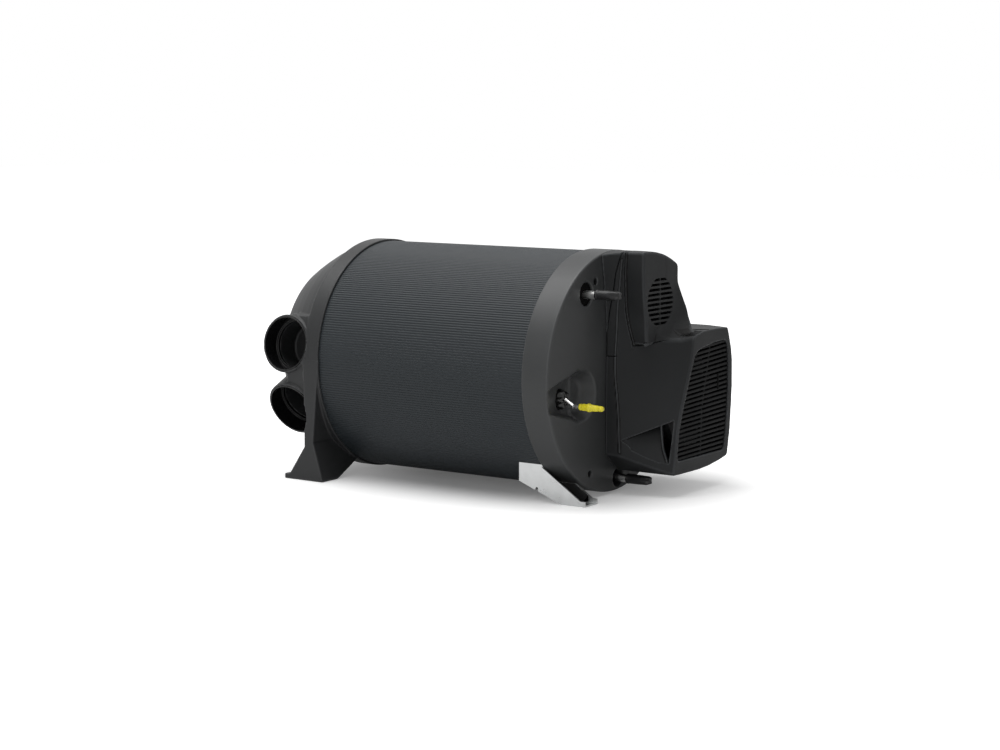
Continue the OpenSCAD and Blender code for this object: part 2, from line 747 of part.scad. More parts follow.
// Control housing, upper cover and grille
module fan_box(grow) soft_hull(fan_box_points, soft_r + grow);
module flank(grow) soft_hull(flank_points, soft_r + grow);
module vent_box(grow) soft_hull(vent_box_points, soft_r + grow);
module upper_base(grow) soft_hull(upper_points, soft_r + grow);
module seam_region(gap) slab_xz(-house_reach, house_reach) polygon(concat(
  [[x_face - ring_r, -house_reach], [x_front + eps, -house_reach], [x_front + eps, seam_z + gap]],
  [[seam_x(seam_z) + gap, seam_z + gap]],
  [for (i = [0:seam_steps]) seam_point(i / seam_steps) + [gap, 0]],
  [[x_face - ring_r, ring_r]]));
module upper_outline(inset, low) intersection() {
  circle(r = cover_r - inset);
  translate([inset - housing_side, low]) square([housing_side + cover_far - 2 * inset, ring_r]);
}
module low_outline() polygon(low_side(seam_z));
module low_hollow() offset(delta = -shell_wall) polygon(low_side(seam_z + 2 * soft_r));
module grille_outline(grow) polygon(concat(
  [[grille_near_low - grow, grille_low - grow], [grille_far + grow, grille_low - grow],
   [grille_far + grow, grille_high + grow]],
  [for (a = [90:15:150])
    [grille_near_high + grille_arc_r - grille_arc_r * grille_lean + (grille_arc_r + grow) * cos(a),
     grille_high - grille_arc_r + (grille_arc_r + grow) * sin(a)]]));
module control_housing() color("#2b2d2e") on_axis() difference() {
  union() {
    intersection() {
      union() {
        slab_yz(x_face, x_ridge - soft_r) low_outline();
        slab_yz(x_face, x_ridge + soft_r) upper_outline(0, seam_z);
        flank(0);
      }
      seam_region(0);
    }
    fan_box(0);
    slab_yz(x_face, back_c) low_outline();
  }
  intersection() {
    union() {
      fan_box(-shell_wall);
      flank(-shell_wall);
      slab_yz(x_face, x_ridge + soft_r) upper_outline(shell_wall, seam_z);
      slab_yz(x_face, x_ridge - soft_r) low_hollow();
    }
    block([x_spider, -house_reach, -house_reach], [x_front + eps, house_reach, house_reach]);
  }
  slab_yz(x_front - soft_r, x_front + eps) grille_outline(fit);
  at_yz([fan_y, fan_z]) bar(x_face - eps, x_spider + eps, fan_duct_r);
  at_yz(cable_hole) bar(x_face - eps, x_spider + eps, cable_hole_r);
  for (p = housing_screw_at) at_yz(p) bar(x_face - eps, x_spider + eps, screw_r + run_fit);
}
module vent_slots() {
  pitch = 2 * vent_r / vent_rows;
  at_yz(vent_centre) intersection() {
    bar(x_vent - 2 * soft_r, x_vent + eps, vent_r);
    for (i = [0:vent_rows - 1], y = [vent_rib / 2, -vent_r])
      translate([x_vent - 2 * soft_r, y, (i + 0.5) * pitch - vent_r - vent_slot_h / 2])
        cube([2 * soft_r + eps, vent_r - vent_rib / 2, vent_slot_h]);
  }
}
module electronics_cover() color("#2f3132") on_axis() difference() {
  union() {
    upper_base(0);
    vent_box(0);
    flank(0);
  }
  seam_region(fit);
  fan_box(fit);
  upper_base(-shell_wall);
  vent_box(-shell_wall);
  flank(-shell_wall);
  slab_yz(x_front - soft_r, x_front + eps) grille_outline(fit);
  vent_slots();
}
module intake_grille() color("#1f2021") on_axis() slab_yz(x_grille, x_grille + grille_t) difference() {
  grille_outline(0);
  intersection() {
    grille_outline(-grille_frame);
    for (i = [0:grille_rows - 1]) {
      pitch = (grille_high - grille_low - 2 * grille_frame) / grille_rows;
      translate([-ring_r, grille_low + grille_frame + (i + 0.5) * pitch - grille_slot_h / 2])
        square([2 * ring_r, grille_slot_h]);
    }
    difference() {
      square(4 * ring_r, center = true);
      polygon([[grille_rib_y(grille_low), grille_low], [grille_rib_y(grille_low) + grille_rib, grille_low],
        [grille_rib_y(grille_high) + grille_rib, grille_high], [grille_rib_y(grille_high), grille_high]]);
    }
  }
}
function grille_rib_y(z) = (grille_near_low + (z - grille_low) * grille_lean + grille_far) / 2;
module housing_screws() color("#9a9da0") on_axis() for (p = housing_screw_at) at_yz(p)
  screw(x_spider, screw_head_r, screw_head_t, screw_r, screw_len);

// Pipes, caps and grommets
function along_x(x, p) = [x, p[0], p[1]];
module hot_water_pipe() color("#c9ccce") on_axis() difference() {
  union() {
    at_yz(hot_pipe) bar(tank_back - 2 * tank_wall, x_stub, water_pipe_r);
    at_yz(hot_pipe) bar(tank_back, tank_back + pipe_flange_t, pipe_flange_r);
  }
  at_yz(hot_pipe) bar(tank_back - 3 * tank_wall, x_stub + eps, water_pipe_r - pipe_wall);
}
function cold_route(back, past) = [
  along_x(tank_back - back, cold_inner), along_x(tank_back + cold_bend[0], cold_inner),
  along_x(tank_back + cold_bend[1], cold_pipe), along_x(x_stub + past, cold_pipe)
];
module cold_water_pipe() color("#c9ccce") on_axis() difference() {
  union() {
    bent_rod(cold_route(2 * tank_wall, 0), water_pipe_r);
    at_yz(cold_inner) bar(tank_back, tank_back + pipe_flange_t, pipe_flange_r);
  }
  bent_rod(cold_route(3 * tank_wall, eps), water_pipe_r - pipe_wall);
}
fuel_root = fuel_hole * (drum_r + fit) / norm(fuel_hole);
x_fuel = core_end + head_t + head_hole_r;
function fuel_route(past) = [
  along_x(x_fuel, fuel_root), along_x(x_fuel, fuel_hole), along_x(x_face - fuel_bend[0], fuel_hole),
  along_x(x_face + fuel_bend[1], fuel_stub), along_x(x_stub + past, fuel_stub)
];
module fuel_pipe() color("#c9ccce") on_axis() difference() {
  bent_rod(fuel_route(0), fuel_pipe_r);
  at_yz(fuel_stub) bar(x_cap_start, x_stub + eps, fuel_pipe_r / 2);
}
module push_cap(p, r, pipe_r, collar) at_yz(p) difference() {
  union() {
    bar(x_cap_start, x_cap_end - r / 2, r);
    taper(x_cap_end - r / 2, x_cap_end, r, r / 2);
    bar(x_cap_start + cap_len * collar_from, x_cap_start + cap_len * collar_to, r + collar);
  }
  bar(x_cap_start - eps, x_stub + cap_floor / 2, pipe_r + run_fit);
}
module hot_water_cap() color("#26282a") on_axis() push_cap(hot_pipe, water_cap_r, water_pipe_r, 0);
module cold_water_cap() color("#26282a") on_axis() push_cap(cold_pipe, water_cap_r, water_pipe_r, 0);
module fuel_cap() color("#f5d415") on_axis() push_cap(fuel_stub, fuel_cap_r, fuel_pipe_r, cap_collar);
module hot_pipe_grommet() color("#141516") on_axis() at_yz(hot_pipe)
  pipe_x(x_plate - seal_t, x_plate, pipe_hole_r + seal_lap, water_pipe_r + fit / 2);
module cold_pipe_grommet() color("#141516") on_axis() at_yz(cold_pipe) difference() {
  union() {
    bar(x_face - notch_depth - pocket_wall - seal_lip, x_face - notch_depth + seal_lip,
      notch_pipe_hole_r - fit / 2);
    bar(x_face - notch_depth, x_face - notch_depth + seal_lip, notch_pipe_hole_r + seal_lip);
  }
  bar(x_cap, x_face, water_pipe_r + fit / 2);
}
module fuel_pipe_grommet() color("#141516") on_axis() at_yz(fuel_hole)
  pipe_x(x_face - pocket_depth - pocket_wall, x_face - channel_depth - seal_lip,
    fuel_hole_r - fit / 2, fuel_pipe_r + fit / 2);

// Tank, insulation and heat exchanger
module insulation_half(low, high) color("#d8d3c4") on_axis() intersection() {
  pipe_x(tank_front - insulation_over, tank_back + insulation_over, insulation_r, insulation_in_r);
  block([tank_front - 2 * insulation_over, -ring_r, low], [tank_back + 2 * insulation_over, ring_r, high]);
}
module insulation_upper() insulation_half(fit / 2, ring_r);
module insulation_lower() insulation_half(-ring_r, -fit / 2);
module water_tank() color("#b7babd") on_axis() difference() {
  pipe_x(tank_front, tank_back, tank_r, tank_inner_r);
  pipe_x(tank_front + tank_wall, tank_back - tank_wall, tank_r - tank_wall, tank_inner_r + tank_wall);
  for (p = [hot_pipe, cold_inner]) at_yz(p)
    bar(tank_back - 2 * tank_wall, tank_back + eps, water_pipe_r + fit / 2);
  at_yz(sensor_at) bar(tank_back - 2 * tank_wall, tank_back + eps, probe_r + fit / 2);
}
module heat_exchanger() color("#a9abad") on_axis() {
  difference() {
    union() {
      bar(core_start, core_end, core_r);
      bar(core_end - core_flange_t, core_end, drum_r);
    }
    bar(core_start + core_wall, core_end + eps, core_r - core_wall);
  }
  for (i = [0:fin_count - 1]) rotate([i * 360 / fin_count, 0, 0])
    block([core_start, -fin_t / 2, core_r - core_wall / 2],
      [tank_back - fin_setback, fin_t / 2, tank_inner_r - fit]);
}

// Burner
module burner_tube() color("#8f8a84") on_axis() pipe_x(flame_start, core_end, flame_r, flame_r - flame_wall);
module hole_ring(count, ring, x0, x1, r) for (i = [0:count - 1]) rotate([i * 360 / count, 0, 0])
  translate([0, 0, ring]) bar(x0, x1, r);
module burner_head() color("#9b958c") on_axis() difference() {
  bar(core_end, core_end + head_t, drum_r - drum_wall - fit / 2);
  hole_ring(head_holes, air_hole_ring, core_end - eps, core_end + head_t + eps, head_hole_r);
  hole_ring(head_holes, gas_hole_ring, core_end - eps, core_end + head_t + eps, head_hole_r);
  translate([0, glow_pin_y, 0]) bar(core_end - eps, core_end + head_t + eps, head_hole_r);
}
module glow_pin() color("#d9d2c0") on_axis() translate([0, glow_pin_y, 0]) {
  bar(core_end - glow_pin_len, core_end + head_t + glow_head_t / 2, head_hole_r - run_fit);
  bar(core_end + head_t, core_end + head_t + glow_head_t, head_hole_r + glow_lap);
}
module at_stub(angle) translate([stub_x, 0, 0]) rotate([angle - 90, 0, 0]) children();
module drum_hole(x, angle) translate([x - stub_x, 0, 0]) at_stub(angle)
  translate([0, 0, drum_r - 2 * drum_wall]) cylinder(h = ring_r, r = stub_inner_r + fit / 2);
module burner_housing() color("#b3b5b7") on_axis() {
  difference() {
    bar(core_end, drum_end, drum_r);
    bar(core_end - eps, partition_x, drum_r - drum_wall);
    bar(partition_x + drum_wall, drum_end - drum_wall, drum_r - drum_wall);
    bar(partition_x - eps, partition_x + drum_wall + eps, nozzle_r);
    bar(drum_end - 2 * drum_wall, drum_end + eps, burner_motor_r + fit);
    drum_hole(stub_x, stub_angle);
    drum_hole(exhaust_x, -stub_angle);
    hole_ring(motor_screw_count, burner_screw_ring, drum_end - 2 * drum_wall, drum_end + eps,
      small_screw_r + run_fit);
  }
  pipe_x(core_end + head_t, partition_x + drum_wall / 2, mixer_r, mixer_r - flame_wall);
}
module burner_motor() color("#5c5f62") on_axis() difference() {
  union() {
    bar(burner_motor_start, burner_motor_end, burner_motor_r);
    bar(drum_end - drum_wall - motor_flange_t, drum_end - drum_wall, motor_flange_r);
  }
  bar(burner_motor_start - eps, burner_motor_end - motor_cover_t, burner_shaft_r + run_fit);
  hole_ring(motor_screw_count, burner_screw_ring, drum_end - 2 * drum_wall - motor_flange_t, drum_end,
    small_screw_r + run_fit);
}
module burner_motor_screws() color("#9a9da0") on_axis() for (i = [0:motor_screw_count - 1])
  rotate([i * 360 / motor_screw_count, 0, 0]) translate([0, 0, burner_screw_ring])
    screw(drum_end, burner_head_r, small_head_t, small_screw_r, drum_wall + motor_flange_t);
module burner_fan_shaft() color("#c9ccce") on_axis()
  bar(burner_fan_start, burner_motor_end - motor_cover_t - fit, burner_shaft_r);
module burner_impeller() color("#d6d3cb") on_axis() difference() {
  union() {
    bar(burner_fan_start, burner_fan_start + burner_fan_w, hub_r);
    bar(burner_fan_start + burner_fan_w - burner_disc_t, burner_fan_start + burner_fan_w, burner_fan_r);
    spokes(burner_blades, burner_fan_start, burner_fan_start + burner_fan_w - burner_disc_t / 2,
      hub_r - blade_lap, burner_fan_r, blade_t);
  }
  bar(burner_fan_start - eps, burner_fan_start + burner_fan_w + eps, burner_shaft_r + run_fit / 2);
}
function radial(x, r) = [x - stub_x, 0, r];
module stub_body(r) {
  translate([0, 0, stub_swell]) cylinder(h = stub_end - stub_swell, r = r - stub_neck);
  translate([0, 0, stub_root]) cylinder(h = stub_end - stub_root, r = r);
}
module stub_bore(r) translate([0, 0, stub_swell + stub_wall])
  cylinder(h = stub_end - stub_swell, r = r - stub_neck - stub_wall);
module exhaust_pipe() color("#b8b3aa") on_axis() at_stub(-stub_angle) difference() {
  union() {
    bent_rod([radial(exhaust_x, drum_r - drum_wall), radial(exhaust_x, exhaust_bend[0]),
      radial(stub_x, exhaust_bend[1]), radial(stub_x, stub_swell + eps)], stub_inner_r);
    stub_body(exhaust_r);
  }
  bent_rod([radial(exhaust_x, drum_r - 2 * drum_wall), radial(exhaust_x, exhaust_bend[0]),
    radial(stub_x, exhaust_bend[1]), radial(stub_x, stub_swell + 2 * stub_wall)], stub_inner_r - stub_wall);
  stub_bore(exhaust_r);
}
module combustion_air_pipe() color("#2a2b2c") on_axis() at_stub(stub_angle) difference() {
  union() {
    translate([0, 0, drum_r - drum_wall])
      cylinder(h = stub_swell + eps - drum_r + drum_wall, r = stub_inner_r);
    stub_body(intake_r);
  }
  cylinder(h = stub_end + eps, r = stub_inner_r - stub_wall);
  stub_bore(intake_r);
}

// Circulating fan
module on_fan() on_axis() at_yz([fan_y, fan_z]) children();
module spokes(count, x0, x1, r0, r1, w) for (i = [0:count - 1]) rotate([i * 360 / count, 0, 0])
  block([x0, -w / 2, r0], [x1, w / 2, r1]);
module fan_screw_places() for (i = [0:motor_screw_count - 1])
  rotate([(i + 0.5) * 360 / motor_screw_count, 0, 0]) translate([0, 0, fan_screw_ring]) children();
module fan_motor_mount() color("#3b3d3f") on_fan() difference() {
  union() {
    pipe_x(x_spider, x_fan_motor, spider_r, fan_duct_r - spider_lap);
    bar(x_spider, x_fan_motor, fan_motor_r);
    spokes(motor_screw_count, x_spider, x_fan_motor, fan_motor_r - spider_lap, fan_duct_r - spider_lap / 2,
      spider_arm_w);
  }
  fan_screw_places() bar(x_spider - eps, x_fan_motor + eps, small_screw_r + run_fit);
}
module circulation_motor() color("#6a6d70") on_fan() difference() {
  bar(x_fan_motor, x_fan_motor + fan_motor_len, fan_motor_r);
  bar(x_bearing, x_fan_motor + fan_motor_len + eps, fan_shaft_r + bearing_lap);
  bar(x_bearing, x_bearing + bearing_w, bearing_r + run_fit);
  bar(x_fan_motor + fan_motor_len - bearing_w, x_fan_motor + fan_motor_len + eps, bearing_r + run_fit);
  fan_screw_places() bar(x_fan_motor - eps, x_fan_motor + fan_screw_in + eps, small_screw_r + run_fit);
}
module circulation_motor_screws() color("#9a9da0") on_fan() fan_screw_places() {
  bar(x_spider - small_head_t, x_spider, small_head_r);
  bar(x_spider - small_head_t / 2, x_fan_motor + fan_screw_in, small_screw_r);
}
module circulation_bearings() color("#b0b3b6") on_fan()
  for (x = [x_bearing, x_fan_motor + fan_motor_len - bearing_w])
    pipe_x(x, x + bearing_w, bearing_r, fan_shaft_r + run_fit);
module circulation_shaft() color("#c9ccce") on_fan() bar(x_bearing + fit, x_wheel + wheel_w, fan_shaft_r);
module circulation_impeller() color("#2d2f31") on_fan() difference() {
  union() {
    bar(x_wheel, x_wheel + wheel_w, hub_r);
    bar(x_wheel, x_wheel + wheel_disc_t, fan_r);
    pipe_x(x_wheel + wheel_w - wheel_disc_t, x_wheel + wheel_w, fan_r, blade_in_r + blade_lap);
    spokes(fan_blades, x_wheel + wheel_disc_t / 2, x_wheel + wheel_w - wheel_disc_t / 2,
      blade_in_r, fan_r - blade_lap, blade_t);
  }
  bar(x_wheel - eps, x_wheel + wheel_w + eps, fan_shaft_r + run_fit / 2);
}
module circulation_fan_housing() color("#3b3d3f") on_fan() {
  pipe_x(x_fan_motor, x_fan_inlet + fan_duct_wall, fan_duct_r + fan_duct_wall, fan_duct_r);
  pipe_x(x_fan_inlet, x_fan_inlet + fan_duct_wall, fan_duct_r + fan_duct_wall / 2, fan_inlet_r);
}

// Electronics and sensors
board_posts = [for (y = [board_low[0] + board_margin, board_high[0] - board_margin],
  z = [board_low[1] + board_margin, board_high[1] - board_margin]) [y, z]];
module circuit_board() color("#1f5a3a") on_axis() {
  block([x_board, board_low[0], board_low[1]], [x_board_face, board_high[0], board_high[1]]);
  for (p = board_posts) at_yz(p) bar(x_spider, x_board + board_t / 2, board_post_r);
}
module on_board(p) translate([x_board_face, p[0], p[1]]) children();
module board_components() color("#20252b") on_axis() {
  for (i = [0:relay_count - 1]) on_board(relay_at + [relay_pitch * i, 0]) cube(relay_size);
  for (i = [0:capacitor_count - 1]) on_board(capacitor_at + [capacitor_pitch * i, 0])
    bar(0, capacitor_h, capacitor_r);
  on_board(chip_at) cube(chip_size);
  on_board(transformer_at) cube(transformer_size);
}
module connector_block() color("#d8d8d2") on_axis() for (i = [0:plug_count - 1])
  on_board(plug_at + [plug_pitch * i, 0]) difference() {
    cube(plug_size);
    translate([plug_wall, plug_wall, plug_wall]) cube(plug_size - [0, 2 * plug_wall, 2 * plug_wall]);
  }
module water_sensor() color("#b08d3c") on_axis() at_yz(sensor_at) {
  bar(tank_back, tank_back + sensor_len, sensor_r);
  bar(tank_back - probe_len, tank_back + sensor_len / 2, probe_r);
}
module overheat_switch() color("#e2ded2") on_axis() at_yz(switch_at) {
  bar(tank_back, tank_back + switch_t, switch_r);
  for (side = [-1, 1]) translate([0, terminal_y * side, 0])
    bar(tank_back + switch_t / 2, tank_back + switch_t + terminal_len, terminal_r);
}

outer_jacket();
outlet_end_cap();
air_outlet_front_upper();
air_outlet_front_lower();
air_outlet_rear_upper();
air_outlet_rear_lower();
burner_end_cap();
face_screws();
front_foot_bracket();
rear_foot_bracket();
bracket_rivets();
control_housing();
electronics_cover();
intake_grille();
housing_screws();
hot_water_pipe();
cold_water_pipe();
fuel_pipe();
hot_water_cap();
cold_water_cap();
fuel_cap();
hot_pipe_grommet();
cold_pipe_grommet();
fuel_pipe_grommet();
insulation_upper();
insulation_lower();
water_tank();
heat_exchanger();
burner_tube();
burner_head();
glow_pin();
burner_housing();
burner_motor();
burner_motor_screws();
burner_fan_shaft();
burner_impeller();
exhaust_pipe();
combustion_air_pipe();
fan_motor_mount();
circulation_motor();
circulation_motor_screws();
circulation_bearings();
circulation_shaft();
circulation_impeller();
circulation_fan_housing();
circuit_board();
board_components();
connector_block();
water_sensor();
overheat_switch();
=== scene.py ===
# %% [markdown]
# # A caravan heater, dressed around its CAD frame
# The heater is a round water tank that lies on its side between two moulded end caps. The imported CAD model
# gives every piece its place. This file adds the rounded edges, ribs, seams and finishes of the real thing.
# The frame is loaded first. Nothing made here may stand outside it.

# %% Load the frame
import json
import math

import bpy
import bmesh
import numpy as np
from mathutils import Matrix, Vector


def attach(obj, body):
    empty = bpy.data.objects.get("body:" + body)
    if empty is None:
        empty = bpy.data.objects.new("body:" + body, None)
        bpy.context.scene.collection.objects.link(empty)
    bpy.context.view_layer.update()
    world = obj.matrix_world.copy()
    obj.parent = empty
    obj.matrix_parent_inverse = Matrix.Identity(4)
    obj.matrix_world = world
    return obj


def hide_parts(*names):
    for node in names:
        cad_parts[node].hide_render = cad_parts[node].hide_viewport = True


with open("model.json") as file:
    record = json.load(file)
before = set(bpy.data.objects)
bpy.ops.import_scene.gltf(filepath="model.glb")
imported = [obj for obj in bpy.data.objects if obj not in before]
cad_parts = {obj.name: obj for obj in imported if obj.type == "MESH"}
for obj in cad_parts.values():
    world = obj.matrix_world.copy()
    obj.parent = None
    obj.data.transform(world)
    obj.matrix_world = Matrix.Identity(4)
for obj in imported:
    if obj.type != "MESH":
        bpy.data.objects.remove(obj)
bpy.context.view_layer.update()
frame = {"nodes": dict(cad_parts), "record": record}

# %% [markdown]
# ## Putting arrays into meshes
# Every shape below is worked out in millimetres about the tank's axis, which lies 150 mm over the floor.
# One helper turns the arrays into a mesh at the origin, rounds its shading and ties it to its CAD body.
# A grid of points needs the same faces each time, so a second helper numbers them.

# %% Mesh helpers
AXIS_HEIGHT = 150.0
MM = 0.001
WELD_DISTANCE = 1e-6
TINY_EDGE = 1e-7


def grid_faces(rows, columns, round_u=False, round_v=False):
    """Quads of a grid: point (i, j) has number i * columns + j, and either side may wrap round."""
    i = np.arange(rows if round_u else rows - 1)[:, None]
    j = np.arange(columns if round_v else columns - 1)[None, :]
    i_next = (i + 1) % rows
    j_next = (j + 1) % columns
    corners = [i * columns + j, i_next * columns + j, i_next * columns + j_next, i * columns + j_next]
    return np.stack([c.ravel() for c in np.broadcast_arrays(*corners)], axis=1)


def outward(points, faces):
    """Turn every quad round where the signed volume, the sum of a . (b x c) / 6, is negative."""
    a, b, c, d = (points[faces[:, n]] for n in range(4))
    volume = (a * np.cross(b, c)).sum() + (a * np.cross(c, d)).sum()
    return faces if volume > 0 else faces[:, ::-1]


def show(name, points, faces, material, slot, nodes=(), body="heater", crease=35.0, normals=None,
         bend=None):
    """Make a mesh object from points in mm about the tank's axis, and tie it to its CAD body and nodes."""
    mesh = bpy.data.meshes.new(name)
    mesh.from_pydata(((points + (0.0, 0.0, AXIS_HEIGHT)) * MM).tolist(), [], faces.tolist())
    if normals is None:
        work = bmesh.new()
        work.from_mesh(mesh)
        bmesh.ops.remove_doubles(work, verts=work.verts, dist=WELD_DISTANCE)
        bmesh.ops.dissolve_degenerate(work, edges=work.edges, dist=TINY_EDGE)
        work.to_mesh(mesh)
        work.free()
    mesh.polygons.foreach_set("use_smooth", np.ones(len(mesh.polygons), dtype=bool))
    if normals is None:
        mesh.set_sharp_from_angle(angle=math.radians(crease))
    else:
        mesh.normals_split_custom_set_from_vertices(normals.tolist())
    if bend is not None:
        mesh.attributes.new("bend", "FLOAT", "POINT").data.foreach_set("value", bend.astype(np.float32))
    mesh.materials.append(material)
    mesh.update()
    piece = bpy.data.objects.new(name, mesh)
    bpy.context.scene.collection.objects.link(piece)
    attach(piece, body)
    if nodes:
        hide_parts(*nodes)
    print(f"{name}: {len(mesh.polygons)} faces")


# %% [markdown]
# ## Turned shapes
# Sockets, pipe caps and the bushing are round. A turned shape carries a profile round a line, as a lathe
# does. It is one grid of points, so no modifier is needed. The profile's corners are rounded before that.

# %% Turned grids
MOST_OF_SIDE = 0.48


def rounded(corners, radius, steps):
    """Replace each inner corner C by the curve (1-t)^2 A + 2t(1-t) C + t^2 B, with A and B a radius away."""
    p = np.asarray(corners, float)
    before, corner, after = p[:-2], p[1:-1], p[2:]
    back = before - corner
    ahead = after - corner
    back_len = np.linalg.norm(back, axis=1, keepdims=True)
    ahead_len = np.linalg.norm(ahead, axis=1, keepdims=True)
    a = corner + back / back_len * np.minimum(radius, MOST_OF_SIDE * back_len)
    b = corner + ahead / ahead_len * np.minimum(radius, MOST_OF_SIDE * ahead_len)
    t = np.linspace(0.0, 1.0, steps)[None, :, None]
    arcs = (1 - t) ** 2 * a[:, None] + 2 * t * (1 - t) * corner[:, None] + t ** 2 * b[:, None]
    return np.concatenate([p[:1], arcs.reshape(-1, p.shape[1]), p[-1:]])


def turned(profile, steps=96, lobes=0, lobe_depth=None):
    """Carry (x, r) round X: y = r cos t, z = r sin t, where r may lose depth (1 + cos lobes t) / 2."""
    x, r = np.asarray(profile, float).T
    t = np.linspace(0.0, 2 * np.pi, steps, endpoint=False)
    radius = np.repeat(r[:, None], steps, axis=1)
    if lobes:
        radius = radius - np.asarray(lobe_depth)[:, None] * (1 + np.cos(lobes * t)) / 2
    x = np.repeat(x[:, None], steps, axis=1)
    points = np.stack([x, radius * np.cos(t), radius * np.sin(t)], axis=-1).reshape(-1, 3)
    return points, outward(points, grid_faces(len(r), steps, round_v=True))


def aimed(points, origin, direction):
    """Turn a shape made along X so that it points along a direction from an origin."""
    ahead = np.asarray(direction, float) / np.linalg.norm(direction)
    side = np.cross((1.0, 0.0, 0.0), ahead)
    side = side / np.linalg.norm(side)
    up = np.cross(ahead, side)
    return np.asarray(origin, float) + points @ np.stack([ahead, side, up])


# %% [markdown]
# ## Moulded shapes
# The end caps and covers are injection mouldings: every edge has a radius and every wall runs into the next
# with a fillet. Bevels on a cut mesh break where many walls meet. Here a moulding is a distance field,
# negative inside. A soft maximum rounds an outer edge, and a soft minimum fills an inner corner. The field of
# a sloping wall is multiplied by about the cosine of its slope, so that it stays a distance. The skin is
# found on a lattice: one point in each cube that it crosses, and one quad round each crossed lattice edge.

# %% Distance fields
BEND_FROM = 0.09
BEND_SPAN = 0.35


def soft_max(a, b, k):
    """max(a, b) + h^2 / 4k with h = k - |a - b| where positive: an edge of two walls rounded over k."""
    h = np.maximum(k - np.abs(a - b), 0.0)
    return np.maximum(a, b) + h * h / (4.0 * k)


def soft_min(a, b, k):
    """The same for two solids that run into each other: their inner corner is filled over about k."""
    return -soft_max(-a, -b, k)


def inside_all(k, *walls):
    """The space inside every wall, with its edges rounded over about k."""
    field = walls[0]
    for wall in walls[1:]:
        field = soft_max(field, wall, k)
    return field


def slope_of(field, p, h=0.25):
    """Gradient of a field by central differences."""
    steps = np.eye(3) * h
    return np.stack([(field(*(p + s).T) - field(*(p - s).T)) / (2 * h) for s in steps], axis=1)


def bend_of(field, p, h=0.9):
    """Sum of (f(p + h) + f(p - h) - 2 f(p)) / h^2, cut to -1..1: over 0 on an edge, under 0 in a corner."""
    steps = np.eye(3) * h
    total = sum(field(*(p + s).T) + field(*(p - s).T) for s in steps) - 6.0 * field(*p.T)
    return np.clip((np.abs(total / h ** 2) - BEND_FROM) / BEND_SPAN, 0.0, 1.0) * np.sign(total)


# %% Skin of a field
PULLS = 3
LONGEST_PULL = 0.6
LEAST_SLOPE = 0.05
TINY = 1e-9


def moulded(field, low, high, step, bend_field=None):
    """Points, quads, normals and bend of the zero skin of a field, pulled onto it by p - f g / |g|^2."""
    axes = [np.arange(a - step, b + 2 * step, step) for a, b in zip(low, high)]
    shape = tuple(len(a) for a in axes)
    f = np.broadcast_to(field(*np.meshgrid(*axes, indexing="ij", sparse=True)), shape)
    within = f < 0
    corner = np.array([(i, j, k) for i in (0, 1) for j in (0, 1) for k in (0, 1)])
    cut = [tuple(slice(o, n - 1 + o) for o, n in zip(c, shape)) for c in corner]
    count = sum(within[c].astype(np.int8) for c in cut)
    cells = np.argwhere((count > 0) & (count < 8))
    value = np.stack([f[tuple((cells + c).T)] for c in corner], axis=1)
    pairs = [(a, b) for a in range(8) for b in range(a + 1, 8)
             if np.abs(corner[a] - corner[b]).sum() == 1]
    total = np.zeros((len(cells), 3))
    crossings = np.zeros((len(cells), 1))
    for a, b in pairs:
        crossed = ((value[:, a] < 0) != (value[:, b] < 0))[:, None]
        span = np.where(crossed[:, 0], value[:, a] - value[:, b], 1.0)
        t = (value[:, a] / span)[:, None]
        total += np.where(crossed, corner[a] + t * (corner[b] - corner[a]), 0.0)
        crossings += crossed
    points = np.array([a[0] for a in axes]) + (cells + total / crossings) * step
    number = np.full(tuple(n - 1 for n in shape), -1)
    number[tuple(cells.T)] = np.arange(len(cells))
    quads = []
    for d in range(3):
        u, v = np.eye(3, dtype=int)[(d + 1) % 3], np.eye(3, dtype=int)[(d + 2) % 3]
        ahead = np.eye(3, dtype=int)[d]
        near = within[tuple(slice(0, n - 1) if q == d else slice(None) for q, n in enumerate(shape))]
        far = within[tuple(slice(1, n) if q == d else slice(None) for q, n in enumerate(shape))]
        edges = np.argwhere(near != far)
        inner = np.all((edges + ahead >= 1) & (edges < np.array(shape) - 1), axis=1)
        edges = edges[inner]
        ring = np.stack([number[tuple((edges - o).T)] for o in (u + v, v, 0 * u, u)], axis=1)
        outside_ahead = near[tuple(edges.T)]
        quads.append(np.where(outside_ahead[:, None], ring, ring[:, ::-1]))
    for _ in range(PULLS):
        g = slope_of(field, points)
        move = -field(*points.T)[:, None] * g / np.maximum((g * g).sum(1, keepdims=True), LEAST_SLOPE)
        length = np.linalg.norm(move, axis=1, keepdims=True)
        points = points + move * np.minimum(1.0, LONGEST_PULL * step / np.maximum(length, TINY))
    normals = slope_of(field, points)
    normals /= np.maximum(np.linalg.norm(normals, axis=1, keepdims=True), TINY)
    return points, np.concatenate(quads), normals, bend_of(bend_field or field, points)


def show_moulding(name, skin, material, slot, node):
    """Show the points, quads, normals and bend that moulded() found, in place of one CAD node."""
    points, quads, normals, bend = skin
    show(name, points, quads, material, slot, [node], normals=normals, bend=bend)


# %% [markdown]
# ## Shared finish effects
# Most surfaces of the heater have a fine random grain and slow drifts of tone. One node group holds both
# effects, so that each material only sets its own sizes. It reads Object coordinates in metres. The mouldings
# get a painted highlight on their edges and painted shade in their corners, where the bend, an attribute of
# the mesh, says so.

# %% Grain and drift group
NOISE_RANGE = (0.32, 0.68)


def new_node(tree, kind, inputs=(), **settings):
    """A node with its settings, and with a value for each input that is named or numbered."""
    node = tree.nodes.new(kind)
    for title, value in settings.items():
        setattr(node, title, value)
    for socket, value in dict(inputs).items():
        node.inputs[socket].default_value = value
    return node


